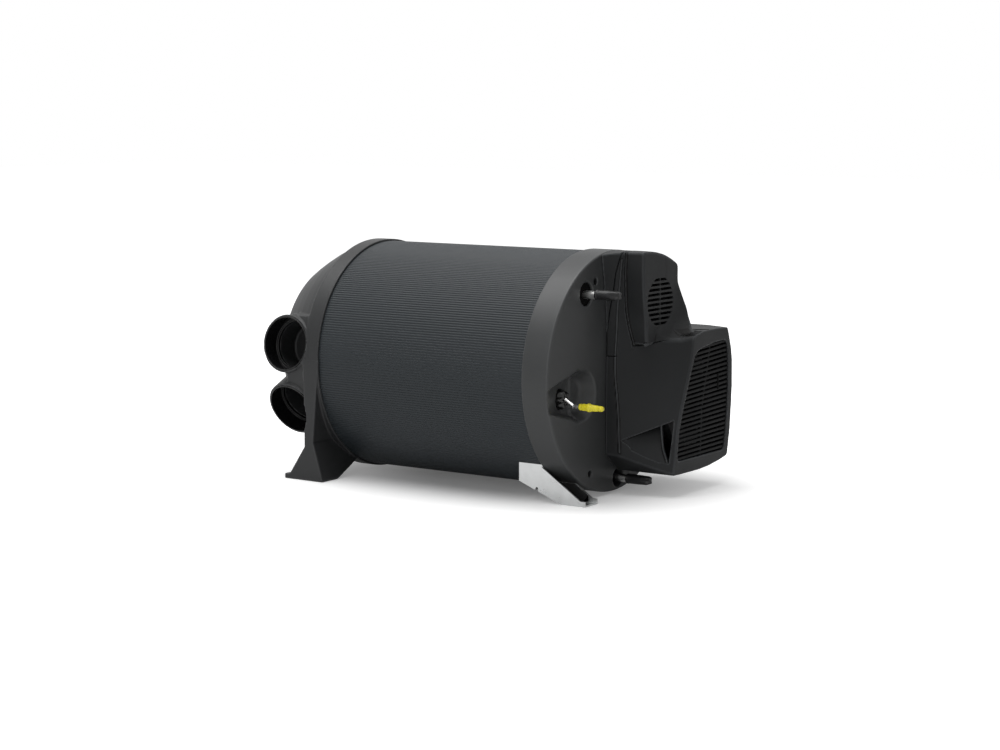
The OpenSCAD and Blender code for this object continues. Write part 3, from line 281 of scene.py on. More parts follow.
def make_grain_group():
    """Grain = fine noise for height; Drift = slow noise, stretched to 0..1, for tone and gloss."""
    group = bpy.data.node_groups.new("surface_grain", "ShaderNodeTree")
    for title, kind in (("Position", "Vector"), ("Grain Size", "Float"), ("Drift Size", "Float")):
        group.interface.new_socket(title, in_out="INPUT", socket_type="NodeSocket" + kind)
    for title in ("Grain", "Drift"):
        group.interface.new_socket(title, in_out="OUTPUT", socket_type="NodeSocketFloat")
    given = new_node(group, "NodeGroupInput")
    result = new_node(group, "NodeGroupOutput")
    link = group.links.new
    fine = new_node(group, "ShaderNodeTexNoise", {"Detail": 2.0})
    slow = new_node(group, "ShaderNodeTexNoise", {"Detail": 4.0})
    widen = new_node(group, "ShaderNodeMapRange", {"From Min": NOISE_RANGE[0], "From Max": NOISE_RANGE[1]})
    link(given.outputs["Position"], fine.inputs["Vector"])
    link(given.outputs["Position"], slow.inputs["Vector"])
    link(given.outputs["Grain Size"], fine.inputs["Scale"])
    link(given.outputs["Drift Size"], slow.inputs["Scale"])
    link(slow.outputs["Fac"], widen.inputs["Value"])
    link(fine.outputs["Fac"], result.inputs["Grain"])
    link(widen.outputs["Result"], result.inputs["Drift"])
    return group


# %% One finish
GRAIN_DEPTH = 0.0004
FINISH_OF = {}
grain_group = make_grain_group()


def finish(name, colour, roughness, metal=0.0, grain=900.0, relief=0.15, drift=14.0, spread=0.10,
           gloss_spread=0.05, stretch=(1.0, 1.0, 1.0), specular=0.5, edge=0.0):
    """A Principled material: tone and gloss follow Drift, the normal follows Grain; the bend paints a
    highlight on edges and shade in corners.
    """
    material = bpy.data.materials.new(name)
    material.use_nodes = True
    tree = material.node_tree
    link = tree.links.new
    shader = tree.nodes["Principled BSDF"]
    shader.inputs["Metallic"].default_value = metal
    shader.inputs["Specular IOR Level"].default_value = specular
    darker = [c * (1 - spread) for c in colour]
    lighter = [min(c * (1 + spread), 1.0) for c in colour]
    place = new_node(tree, "ShaderNodeTexCoord")
    turn = new_node(tree, "ShaderNodeMapping", {"Scale": stretch})
    effect = new_node(tree, "ShaderNodeGroup", {"Grain Size": grain, "Drift Size": drift},
                      node_tree=grain_group)
    tone = new_node(tree, "ShaderNodeMix", {"A": (*darker, 1.0), "B": (*lighter, 1.0)}, data_type="RGBA")
    gloss = new_node(tree, "ShaderNodeMapRange",
                     {"To Min": roughness - gloss_spread, "To Max": roughness + gloss_spread})
    # Painted highlight and shade: the base colour is multiplied by 1 + bend x strength, lighter on edges and
    # darker in corners.
    bent = new_node(tree, "ShaderNodeAttribute", attribute_name="bend")
    bend_light_factor = new_node(tree, "ShaderNodeMath", {1: edge, 2: 1.0}, operation="MULTIPLY_ADD")
    bend_lit_tone = new_node(tree, "ShaderNodeMix", {"Factor": 1.0}, data_type="RGBA", blend_type="MULTIPLY")
    bump = new_node(tree, "ShaderNodeBump", {"Strength": relief, "Distance": GRAIN_DEPTH})
    link(place.outputs["Object"], turn.inputs["Vector"])
    link(turn.outputs["Vector"], effect.inputs["Position"])
    link(effect.outputs["Drift"], tone.inputs["Factor"])
    link(effect.outputs["Drift"], gloss.inputs["Value"])
    link(effect.outputs["Grain"], bump.inputs["Height"])
    link(bent.outputs["Fac"], bend_light_factor.inputs[0])
    link(tone.outputs["Result"], bend_lit_tone.inputs["A"])
    link(bend_light_factor.outputs[0], bend_lit_tone.inputs["B"])
    link(bend_lit_tone.outputs["Result"], shader.inputs["Base Color"])
    link(gloss.outputs["Result"], shader.inputs["Roughness"])
    link(bump.outputs["Normal"], shader.inputs["Normal"])
    FINISH_OF[name] = material
    return material


# %% [markdown]
# ## The finishes
# The mouldings are dark grey glass-filled plastic with a matt spark-eroded grain. The jacket is a darker blue
# grey sheet with a satin lacquer. The foot bracket is galvanised sheet, the pipes are drawn steel, and the
# push-on caps are black and yellow soft plastic.

# %% Materials
# The last number of each moulding plastic sets how strongly the bend paints a highlight on edges and shade in
# corners.
cap_plastic = finish("cap_plastic", (0.030, 0.031, 0.032), 0.44, grain=1500, relief=0.20, spread=0.06,
                     specular=0.30, edge=0.45)
ring_plastic = finish("ring_plastic", (0.046, 0.048, 0.049), 0.42, grain=1500, relief=0.20, spread=0.06,
                      specular=0.36, edge=0.45)
cover_plastic = finish("cover_plastic", (0.0205, 0.0215, 0.0225), 0.48, grain=1700, relief=0.18, spread=0.06,
                       specular=0.17, edge=2.2)
outlet_plastic = finish("outlet_plastic", (0.006, 0.006, 0.0065), 0.22, grain=700, relief=0.05, spread=0.15,
                        specular=0.35)
grille_plastic = finish("grille_plastic", (0.0045, 0.0048, 0.0052), 0.5, grain=1500, relief=0.12, spread=0.10,
                        specular=0.09)
jacket_sheet = finish("jacket_sheet", (0.022, 0.027, 0.031), 0.42, grain=700, relief=0.05, drift=9.0,
                      spread=0.05, stretch=(0.08, 1.0, 1.0), specular=0.28)
finish("bracket_steel", (0.64, 0.65, 0.65), 0.34, metal=1.0, grain=420, relief=0.08, drift=60.0, spread=0.08,
       gloss_spread=0.08)
finish("screw_steel", (0.10, 0.10, 0.11), 0.35, metal=1.0, grain=900, relief=0.05)
finish("pipe_metal", (0.88, 0.88, 0.87), 0.26, metal=1.0, grain=900, relief=0.04, spread=0.05,
       stretch=(0.1, 1.0, 1.0))
cap_black = finish("cap_black", (0.012, 0.012, 0.013), 0.36, grain=900, relief=0.08, spread=0.12,
                   specular=0.32)
cap_yellow = finish("cap_yellow", (0.98, 0.84, 0.035), 0.34, grain=600, relief=0.05, spread=0.05)
seal_rubber = finish("seal_rubber", (0.012, 0.012, 0.012), 0.55, grain=1200, relief=0.15, spread=0.2)
# deep_rubber is near black and barely reflects: on the pipe grommets it is black rubber darkened further as
# painted shade of the deep holes.
deep_rubber = finish("deep_rubber", (0.002, 0.002, 0.002), 0.75, grain=1200, relief=0.15, spread=0.2,
                     specular=0.06)
glossy_rubber = finish("glossy_rubber", (0.008, 0.008, 0.008), 0.24, grain=900, relief=0.1, spread=0.2)
finish("insulation_wool", (0.62, 0.60, 0.54), 0.92, grain=260, relief=0.8, drift=30, spread=0.16)
finish("tank_steel", (0.62, 0.62, 0.61), 0.30, metal=1.0, grain=500, relief=0.06, spread=0.06,
       stretch=(0.15, 1.0, 1.0))
finish("cast_aluminium", (0.58, 0.58, 0.57), 0.50, metal=1.0, grain=700, relief=0.4, spread=0.08)
finish("ceramic", (0.70, 0.66, 0.58), 0.55, grain=800, relief=0.15, spread=0.08)
finish("motor_steel", (0.50, 0.50, 0.50), 0.36, metal=1.0, grain=600, relief=0.08, spread=0.08)
finish("shaft_steel", (0.66, 0.66, 0.65), 0.18, metal=1.0, grain=900, relief=0.04, spread=0.04)
finish("fan_plastic", (0.035, 0.036, 0.038), 0.42, grain=900, relief=0.10, spread=0.10)
finish("hose_plastic", (0.06, 0.06, 0.062), 0.50, grain=700, relief=0.12, spread=0.10)
finish("board_laminate", (0.02, 0.13, 0.06), 0.34, grain=500, relief=0.05, spread=0.12)
finish("component_plastic", (0.025, 0.025, 0.027), 0.45, grain=900, relief=0.10, spread=0.12)
finish("connector_plastic", (0.66, 0.64, 0.58), 0.42, grain=900, relief=0.08, spread=0.06)
finish("sensor_brass", (0.72, 0.52, 0.22), 0.28, metal=1.0, grain=900, relief=0.06, spread=0.06)
print("finishes:", len(FINISH_OF))

# %% [markdown]
# ## Finishes on the CAD solids
# The pieces inside the heater, and the plain sheet and fasteners outside, already have their true shapes in
# the CAD model. They keep their meshes and only take a finish, by the record's own material slots.

# %% Dress the CAD nodes
slot_of_node = {part["node"]: part["material_slot"] for part in frame["record"]["subparts"]}
for node, solid in frame["nodes"].items():
    solid.data.materials.clear()
    solid.data.materials.append(FINISH_OF[slot_of_node[node]])
# Partly real and partly painted: the grommets are black rubber, made darker and unreflective as painted shade
# of the deep pipe holes.
for node in ("hot_pipe_grommet", "cold_pipe_grommet"):
    frame["nodes"][node].data.materials[0] = deep_rubber
print("CAD nodes dressed:", len(frame["nodes"]))

# %% [markdown]
# ## Ribbed jacket
# The jacket is a thin sheet with some three hundred fine flutes that run along it. In the light they show as
# close lines. A bump map would lose them at the outline, so the flutes are part of the shape: the radius is a
# wave round the sheet.

# %% Jacket
JACKET_R = 145.0
JACKET_ENDS = (-171.0, 144.0)
JACKET_WALL = 1.2
FLUTES = 288
POINTS_PER_FLUTE = 8
FLUTE_DEPTH = 0.55
FLUTE_POWER = 0.6
CREST_CLEARANCE = 0.05


def fluted_sheet():
    """r(t) = R - c - d (1 - |cos(n t / 2)|^0.6): round ribs with narrow grooves, carried straight along X."""
    t = np.linspace(0.0, 2 * np.pi, FLUTES * POINTS_PER_FLUTE, endpoint=False)
    groove = 1.0 - np.abs(np.cos(FLUTES * t / 2)) ** FLUTE_POWER
    r_out = JACKET_R - CREST_CLEARANCE - FLUTE_DEPTH * groove
    r_in = np.full_like(t, JACKET_R - JACKET_WALL)
    start, end = JACKET_ENDS
    x = np.repeat(np.array([start, end, end, start])[:, None], len(t), axis=1)
    r = np.stack([r_out, r_out, r_in, r_in])
    points = np.stack([x, r * np.cos(t), r * np.sin(t)], axis=-1).reshape(-1, 3)
    return points, outward(points, grid_faces(len(r), len(t), round_u=True, round_v=True))


show("ribbed_jacket", *fluted_sheet(), jacket_sheet, "jacket_sheet", ["outer_jacket"], crease=60.0)

# %% [markdown]
# ## Outlet end cap
# The left cap is one moulding: a ring over the jacket, a dome that gathers the warm air, flat cheeks for the
# duct sockets, and two legs that flare into feet. It is built as one distance field, mirrored in Y, so that
# all of these run into each other with the soft fillets of a moulding.

# %% Ring, dome and cheeks
RING_R = 147.3
OUTLET_RING_X = (-190.0, -166.5)
DOME_END_X, DOME_ROOT_X, DOME_COS = -256.2, -180.0, 0.87
DOME_X = np.array([-257.0, -250.0, -240.0, -228.0, -214.0, -200.0, -190.0])
DOME_R = np.array([107.0, 112.5, 119.0, 126.0, 133.5, 140.0, 144.0])
CHEEK_X, CHEEK_ROOT_X = -219.6, -182.0
CHEEK_R, CHEEK_ROOT_Y = 146.4, -90.0
CHEEK_TOP_Z, CHEEK_LOW_Z = 58.4, -97.4
JACKET_SPACE_R, JACKET_SPACE_X = 145.4, -166.4

# %% Legs and ports of the cap
LEG_LEFT = ([-150.0, -140.5, -107.0, 0.0], [-219.0, -212.5, -190.0, -190.0])
LEG_RIGHT = ([-150.0, -121.5, -101.0, 0.0], [-160.5, -169.0, -175.5, -166.5])
LEG_LEFT_COS, LEG_RIGHT_COS = 0.85, 0.93
LEG_FACE_Y, LEG_TOP_Z, FOOT_Z = -147.4, 2.0, -149.9
TOE_X, TOE_ROOT_X, TOE_TOP_Z = -222.6, -200.0, -143.6
ARCH_Y, ARCH_Z, ARCH_RISE, ARCH_COS = -116.0, -150.0, 0.41, 0.92
BRACE_Y, BRACE_Z, BRACE_COS = -72.0, -132.0, 0.71
FOOT_HOLE_X, FOOT_HOLE_Y, FOOT_HOLE_R, FOOT_HOLE_TOP_Z = -208.5, -131.75, 3.4, -138.0
PORT_X = -220.0
PORT_ANGLES = np.radians([8.5, -25.5])
COLLAR_R, COLLAR_ROOT, COLLAR_END = 36.7, 100.0, 146.4
PIT_R, PIT_FLOOR = 33.5, 121.3
DUCT_R, DUCT_FLOOR = 29.7, 92.0


def leg_field(x, y, z):
    """Leg: left and right edges follow z, the outer face stands upright, and the inside is arched."""
    left = (np.interp(z, *LEG_LEFT) - x) * LEG_LEFT_COS
    right = (x - np.interp(z, *LEG_RIGHT)) * LEG_RIGHT_COS
    toe = inside_all(1.2, TOE_X - x, x - TOE_ROOT_X, z - TOE_TOP_Z)
    profile = soft_min(soft_max(left, right, 2.0), toe, 3.0)
    under = (z - ARCH_Z - (y - ARCH_Y) * ARCH_RISE) * -ARCH_COS
    inner = (y - BRACE_Y - (z - BRACE_Z)) * BRACE_COS
    return inside_all(1.5, profile, LEG_FACE_Y - y, under, inner, FOOT_Z - z, z - LEG_TOP_Z)


def port_distances(x, y, z, angle):
    """Distance along a port's line, -y cos a + z sin a, and distance square to that line."""
    along = -y * math.cos(angle) + z * math.sin(angle)
    across = np.hypot(x - PORT_X, y * math.sin(angle) + z * math.cos(angle))
    return along, across


# %% Outlet end cap
def outlet_cap_field(x, y, z):
    """Ring, dome, cheeks, collars and legs joined softly, less the duct pits and the foot holes."""
    y = -np.abs(y)
    r = np.hypot(y, z)
    ring = soft_max(soft_max(r - RING_R, OUTLET_RING_X[0] - x, 3.0), x - OUTLET_RING_X[1], 1.0)
    dome = inside_all(6.0, (r - np.interp(x, DOME_X, DOME_R)) * DOME_COS, DOME_END_X - x)
    dome = soft_max(dome, x - DOME_ROOT_X, 1.0)
    cheek = inside_all(3.0, CHEEK_X - x, r - CHEEK_R, z - CHEEK_TOP_Z, CHEEK_LOW_Z - z, y - CHEEK_ROOT_Y,
                       x - CHEEK_ROOT_X)
    body = soft_min(soft_min(ring, dome, 0.8), cheek, 2.0)
    jacket_space = soft_max(r - JACKET_SPACE_R, JACKET_SPACE_X - x, 0.5)
    body = soft_min(body, soft_max(leg_field(x, y, z), -jacket_space, 0.8), 3.0)
    ports = [port_distances(x, y, z, angle) for angle in PORT_ANGLES]
    for along, across in ports:
        collar = inside_all(1.6, across - COLLAR_R, along - COLLAR_END, COLLAR_ROOT - along)
        body = soft_min(body, collar, 2.0)
    for along, across in ports:
        body = soft_max(body, -soft_max(across - PIT_R, PIT_FLOOR - along, 0.5), 1.0)
        body = soft_max(body, -soft_max(across - DUCT_R, DUCT_FLOOR - along, 4.0), 0.6)
    hole = np.hypot(x - FOOT_HOLE_X, y - FOOT_HOLE_Y) - FOOT_HOLE_R
    return soft_max(body, -soft_max(hole, z - FOOT_HOLE_TOP_Z, 0.5), 0.6)


outlet_skin = moulded(outlet_cap_field, low=(-257, -151, -150), high=(-160, 151, 148), step=2.0)
show_moulding("outlet_cap", outlet_skin, cap_plastic, "cap_plastic", "outlet_end_cap")

# %% [markdown]
# ## Duct sockets
# Four glossy black tubes are pressed into the cap for the warm-air ducts. Each has a rounded rim and a step
# inside where the duct stops. That is a turned profile, aimed along its port.

# %% Duct sockets
SOCKET_PROFILE = rounded([(121.6, 29.8), (121.6, 34.2), (147.3, 34.2), (147.3, 32.8), (125.2, 32.8),
                          (125.2, 29.8), (121.6, 29.8)], radius=0.7, steps=4)
for side, side_name in ((-1, "front"), (1, "rear")):
    for angle, level in zip(PORT_ANGLES, ("upper", "lower")):
        points, faces = turned(SOCKET_PROFILE)
        aim = (0.0, side * math.cos(angle), math.sin(angle))
        points = aimed(points, (PORT_X, 0.0, 0.0), aim)
        show(f"duct_socket_{side_name}_{level}", points, outward(points, faces), outlet_plastic,
             "outlet_plastic", [f"air_outlet_{side_name}_{level}"])

# %% [markdown]
# ## Burner end cap
# The right cap is a ring with a flat end face. A funnel in the face, open towards the rim, holds the fuel
# line. The hot-water pipe, two screws and the cold-water pipe have their own holes. A boolean on a mesh would
# leave sharp cut edges here, so the holes are fields taken away, and each keeps a small moulded radius.

# %% Burner end cap
FACE_X, BURNER_BACK_X = 176.5, 139.6
HOT_PIPE = (-64.0, 98.5)
COLD_PIPE = (10.0, -132.0)
BUSHING_PLACE = (-100.0, -24.0)
FACE_HOLES = ((HOT_PIPE, 14.3, 152.0), ((-43.6, 112.0), 4.2, 168.0), ((-54.0, -118.7), 4.2, 168.0),
              (BUSHING_PLACE, 12.6, 152.0), (COLD_PIPE, 11.5, 152.0))
FUNNEL_X, FUNNEL_Y, FUNNEL_Z = 160.5, -73.0, -22.0
FUNNEL_R, FUNNEL_FLARE, FUNNEL_COS = 20.0, 0.68, 0.82
CHANNEL_HALF = ([-150.0, -143.0, -80.0], [13.6, 15.0, 30.5])
CHANNEL_FLOOR = ([-150.0, -143.0, -118.0, -96.0], [175.6, 174.8, 166.5, 161.0])
CHANNEL_Z, CHANNEL_END_Y, CHANNEL_DRAFT, CHANNEL_COS = -21.5, -78.0, 0.35, 0.9


def burner_cap_field(x, y, z):
    """A thick disc with rounded rim, less the funnel, its rising channel, the pipe holes and screw holes."""
    r = np.hypot(y, z)
    body = soft_max(soft_max(r - RING_R, x - FACE_X, 2.6), BURNER_BACK_X - x, 1.0)
    funnel_r = np.hypot(y - FUNNEL_Y, z - FUNNEL_Z)
    funnel = soft_max((funnel_r - FUNNEL_R - FUNNEL_FLARE * (x - FUNNEL_X)) * FUNNEL_COS, FUNNEL_X - x, 4.0)
    half = np.interp(y, *CHANNEL_HALF)
    sides = (np.abs(z - CHANNEL_Z) - half + CHANNEL_DRAFT * (FACE_X - x)) * CHANNEL_COS
    channel = inside_all(3.0, sides, np.interp(y, *CHANNEL_FLOOR) - x, y - CHANNEL_END_Y)
    body = soft_max(body, -soft_min(funnel, channel, 4.0), 1.8)
    for (hole_y, hole_z), hole_r, hole_floor in FACE_HOLES:
        hole = np.hypot(y - hole_y, z - hole_z) - hole_r
        body = soft_max(body, -soft_max(hole, hole_floor - x, 0.6), 1.3)
    return body


burner_skin = moulded(burner_cap_field, low=(139, -148, -148), high=(177, 148, 148), step=1.45)
show_moulding("burner_cap", burner_skin, ring_plastic, "cap_plastic", "burner_end_cap")

# %% [markdown]
# ## Control covers
# Two mouldings stand on the end face and meet in a fine seam. The lower one has a side wall, a flank that
# twists from a ridge to the fan box, and the fan box itself. The upper one carries a raised box with a round
# vent. The lines of the ridge, the flank's slope and the box edges change with height, so each is a smoothed
# table over z.

# %% Cover lines
LEVEL = np.arange(-135.0, 156.0, 1.0)


def eased(heights, values, span=19):
    """Linear table over height, smoothed by a running mean, so that a surface made from it has no creases."""
    line = np.interp(LEVEL, heights, values)
    padded = np.pad(line, span // 2, mode="edge")
    return np.convolve(padded, np.ones(span) / span, mode="valid")


RIDGE_X = eased([-120, -96, -53, -26, -5, 22, 49, 81, 97, 121, 143, 150],
                [196.4, 195.4, 193.5, 191.2, 188.5, 188.2, 190.1, 191.0, 192.9, 194.9, 197.2, 197.7])
FLANK_LEAN = eased([-125, -104, -70, -39, -20, 1, 20, 34, 42, 50, 86, 121, 150],
                   [2.71, 2.22, 1.96, 1.49, 1.30, 1.131, 1.03, 0.987, 0.961, 0.87, 0.6, 0.47, 0.47])
WALL_FOOT_Y = eased([-98, 21, 53, 79, 97, 110, 141], [-20.0, -19.8, -20.4, -22.4, -25.5, -27, -32.5])
COVER_RIGHT_Y = eased([30, 38, 45, 50, 55, 62, 72, 91, 107], [52, 55, 65, 74, 80.4, 85, 86.5, 78, 72.5], 9)
COVER_SLOPE = eased([30, 38, 45, 50, 55, 62, 72, 107], [0.97, 0.97, 0.68, 0.5, 0.4, 0.29, 0.25, 0.25], 9)
COVER_TURN_Y = eased([30, 36, 45, 55, 62, 72, 85, 93, 107], [10, 13.5, 25, 40, 51, 60.5, 63, 64, 74], 9)
BOX_BASE_Y = eased([32, 43, 61, 85, 120, 142], [0.2, -2.3, -4.8, -6.7, -9.6, -10.8])
BOX_EDGE_Y = eased([33, 65, 80, 96, 116, 140], [-0.5, -1.9, -5.1, -7.2, -8.5, -8.4])
SEAM_X = eased([20, 48, 72, 102, 121, 143, 150], [177.0, 177.3, 180.5, 186.5, 189.2, 195.1, 198], 9)
FRONT_X = 256.8
RIDGE_Y = -17.0
VENT_X = 222.6
GRILLE_LOW_Z, GRILLE_LEFT_COS = -107.0, 0.93


def at(z, table):
    """Value of a smoothed table at each height."""
    return np.interp(z, LEVEL, table)


def grille_outline(y, z):
    """Slanted four-sided opening of the air intake, negative inside."""
    left = np.interp(z, [-107, -104, -70, -39, 1, 24], [14.0, 14.6, 19, 30, 47.5, 58])
    right = np.interp(z, [-105, -82, -50, -29, 5, 20, 31], [132, 136.5, 140, 141.5, 141, 139, 136])
    top = np.interp(y, [50, 59, 75, 104, 125, 140], [20, 23.5, 27.5, 31.5, 32.5, 31])
    return inside_all(7.0, (left - y) * GRILLE_LEFT_COS, y - right, z - top, GRILLE_LOW_Z - z)


# %% [markdown]
# ## Body, fan box and vent box of the covers
# The two covers share one outer skin, so one field gives the body. The fan box belongs to the lower cover,
# and the vent box stands on the upper one. A scoop with a leaf-shaped slot lies low in the flank.

# %% Flank, fan box and scoop
ROOF_Z, ROOF_RUN = 48.2, 28.0
RAMP_Y, RAMP_RUN = 40.0, 8.0
SCOOP_X, SCOOP_ALONG = 195.0, (0.897, 0.442)
SCOOP_DEPTH, SCOOP_START, SCOOP_RUN, SCOOP_COS = 15.0, 8.0, 44.0, 0.9
LEAF_DEPTH, LEAF_LOW_Z, LEAF_WALL = 26.0, -107.6, 2.2


def flank_field(x, y, z):
    """Signed distance from the twisted flank x = ridge(z) + lean(z) (y - ridge y)."""
    lean = at(z, FLANK_LEAN)
    return (x - at(z, RIDGE_X) - lean * (y - RIDGE_Y)) / np.sqrt(1 + lean * lean)


def lower_outline(x, y, z):
    """Outline of the lower cover and fan box, under a roof that falls to an arched front edge."""
    right = np.interp(z, [-122, -118.6, -110, -82, -50, -29, 5, 20, 35, 45],
                      [136, 138.8, 141, 146.4, 149.2, 150.6, 150.1, 147.3, 142.2, 138.5])
    arc = np.interp(y, [40, 49.7, 61.8, 76.5, 91.4, 111.5, 137], [33.4, 39.4, 44.2, 47.2, 47.8, 48, 46.8])
    back = np.clip((FRONT_X - x) / ROOF_RUN, 0.0, 1.0)
    ramp = np.clip((y - RAMP_Y) / RAMP_RUN, 0.0, 1.0)
    top = arc + (ROOF_Z - arc) * back * ramp
    bottom = np.interp(y, [-30, -17, -12.3, -9.3, -6, -3.9, -1.3, 3.9, 22, 70, 95, 121, 139],
                       [-97, -102.6, -109, -115, -118.9, -120.7, -121.7, -122.4, -122.7, -122.9, -121.4,
                        -118, -114.5])
    return soft_max(inside_all(3.5, y - right, bottom - z), z - top, 2.2)


def scoop_field(x, y, z):
    """A pocket whose floor leans out from a straight upper edge, and a leaf-shaped slot at its end."""
    flank = flank_field(x, y, z)
    run = (x - SCOOP_X) * SCOOP_ALONG[0] + (y - RIDGE_Y) * SCOOP_ALONG[1]
    upper = np.interp(run, [0.0, 11.7, 51.6, 70.0], [-82.2, -77.7, -62.2, -55.1])
    lower = np.interp(run, [0.0, 10.0, 15.1, 31.0, 48.0, 59.1, 70.0],
                      [-80.0, -86.5, -93.0, -100.4, -106.5, -107.3, -107.6])
    near = np.clip((run - SCOOP_START) / SCOOP_RUN, 0.0, 1.0)
    rise = np.clip((z - lower) / np.maximum(upper - lower, 4.0), 0.0, 1.2)
    depth = SCOOP_DEPTH * rise * near * (2.0 - near)
    leaf_left = np.interp(z, [-107.0, -98, -91, -80, -67, -58], [59.0, 56.0, 53.7, 52.3, 51.2, 50.6])
    leaf_right = np.interp(z, [-107.0, -98, -89, -80, -67, -58], [59.3, 60.6, 61.5, 62.6, 63.9, 64.4])
    pocket = inside_all(1.2, z - upper, run - leaf_left + LEAF_WALL, lower - z, -(flank + depth) * SCOOP_COS)
    leaf = inside_all(1.0, leaf_left - run, run - leaf_right, z - upper, LEAF_LOW_Z - z,
                      -(flank + LEAF_DEPTH))
    return np.minimum(pocket, leaf)


# %% Body of both covers
LIP_Z, LIP_SLOPE, LIP_DROP = -100.5, (0.645, 0.763), 0.6
FACE_GAP = 0.2
COVER_R, COVER_LOW_Z = 146.9, 10.0
TURN_ROUNDING, TURN_COS = 14.0, 0.9
BEAD_R, BEAD_SINK, BEAD_ENDS_Z = 1.3, 0.9, (-97.0, 138.0)


def cover_walls(x, y, z):
    """Side wall, lip under it, front and end face, which bound both covers."""
    foot = at(z, WALL_FOOT_Y)
    share = np.clip((x - FACE_X) / (at(z, RIDGE_X) - FACE_X), 0.0, 1.05)
    wall = foot + share * (RIDGE_Y - foot) - y
    lip = -(y - RIDGE_Y) * LIP_SLOPE[0] - (z - LIP_Z) * LIP_SLOPE[1] - LIP_DROP
    return inside_all(1.2, wall, lip, soft_max(x - FRONT_X, FACE_X + FACE_GAP - x, 0.6))


def covers_body(x, y, z):
    """The shared skin: fan box and upper cover, cut by flank and walls, with a bead on the ridge."""
    past_turn = soft_max(y - at(z, COVER_TURN_Y), 0.0, TURN_ROUNDING)
    front = (x - VENT_X - at(z, COVER_SLOPE) * past_turn) * TURN_COS
    upper = inside_all(4.0, np.hypot(y, z) - COVER_R, y - at(z, COVER_RIGHT_Y), COVER_LOW_Z - z, front)
    outline = soft_min(lower_outline(x, y, z), upper, 3.0)
    body = soft_max(soft_max(outline, flank_field(x, y, z), 3.0), cover_walls(x, y, z), 1.7)
    bead = np.hypot(x - at(z, RIDGE_X) + BEAD_SINK, y - RIDGE_Y - BEAD_SINK) - BEAD_R
    return soft_min(body, inside_all(0.8, bead, BEAD_ENDS_Z[0] - z, z - BEAD_ENDS_Z[1]), 0.5)


# %% Seam and lower cover
SEAM_GAP, SEAM_OVERLAP, OPEN_SEAM_X = 0.8, 1.5, 189.0
FAN_BOX_LEFT_Y, FAN_BOX_OVERLAP = 44.0, 0.4
INTAKE_BACK_X, INTAKE_MARGIN = 183.0, 1.0


def upper_zone(x, y, z, gap):
    """Space of the upper cover: over a stepped line, ahead of the curved seam, and just into the fan box."""
    line = np.interp(y, [-40, -17, -0.6, 6.8, 14.2, 19.4, 24.7, 34, 60],
                     [20, 20, 32.3, 33.6, 34.4, 36.1, 37.6, 39.8, 43])
    open_share = np.interp(y, [-17, -14, -4, -0.6, 22, 36], [1.0, 0.0, 0.0, 1.0, 1.0, 0.0])
    open_seam = np.where(x < OPEN_SEAM_X, 1.0, open_share)
    gap_here = np.where(gap > 0.0, open_seam * (gap + SEAM_OVERLAP) - SEAM_OVERLAP, 0.0)
    fan_box = soft_max(lower_outline(x, y, z), FAN_BOX_LEFT_Y - y, 1.0)
    return inside_all(0.5, line + gap_here - z, at(z, SEAM_X) + gap - x, -fan_box - FAN_BOX_OVERLAP)


def housing_body(x, y, z):
    """The lower cover before the seam is cut: the body less the intake opening and the scoop."""
    intake = soft_max(grille_outline(y, z) + INTAKE_MARGIN, INTAKE_BACK_X - x, 0.6)
    body = soft_max(covers_body(x, y, z), -intake, 1.0)
    return soft_max(body, -scoop_field(x, y, z), 1.0)


def housing_field(x, y, z):
    """The lower cover: its body outside the upper zone."""
    return soft_max(housing_body(x, y, z), -upper_zone(x, y, z, 0.0), 0.6)


# %% Upper cover
VENT_Y, VENT_Z, VENT_R = 29.7, 84.9, 29.7
SLOTS, SLOT_PITCH, SLOT_HALF, SLOT_DEPTH = 10, 5.94, 1.45, 9.0
RIB_HALF = 0.95
BOX_R, BOX_BACK_X = 146.8, 188.0
BOX_LOW_Z, BOX_LOW_RISE = 35.0, 0.06
GROOVE_R, GROOVE_OFFSET = 0.8, 2.2
BOX_BEAD_X, BOX_BEAD_Y, BOX_BEAD_Z = 220.9, -2.0, 34.8
BOX_BEAD_R, BOX_BEAD_RUN, BOX_BEAD_RISE = 2.1, 13.0, 1.2


def vent_slots(x, y, z):
    """Ten slots inside a circle, parted by an upright rib, each cut 9 mm deep into the box front."""
    ring = np.hypot(y - VENT_Y, z - VENT_Z) - VENT_R
    row = np.abs((z - VENT_Z + SLOTS // 2 * SLOT_PITCH) % SLOT_PITCH - SLOT_PITCH / 2) - SLOT_HALF
    return inside_all(0.4, ring, row, RIB_HALF - np.abs(y - VENT_Y), VENT_X - SLOT_DEPTH - x)


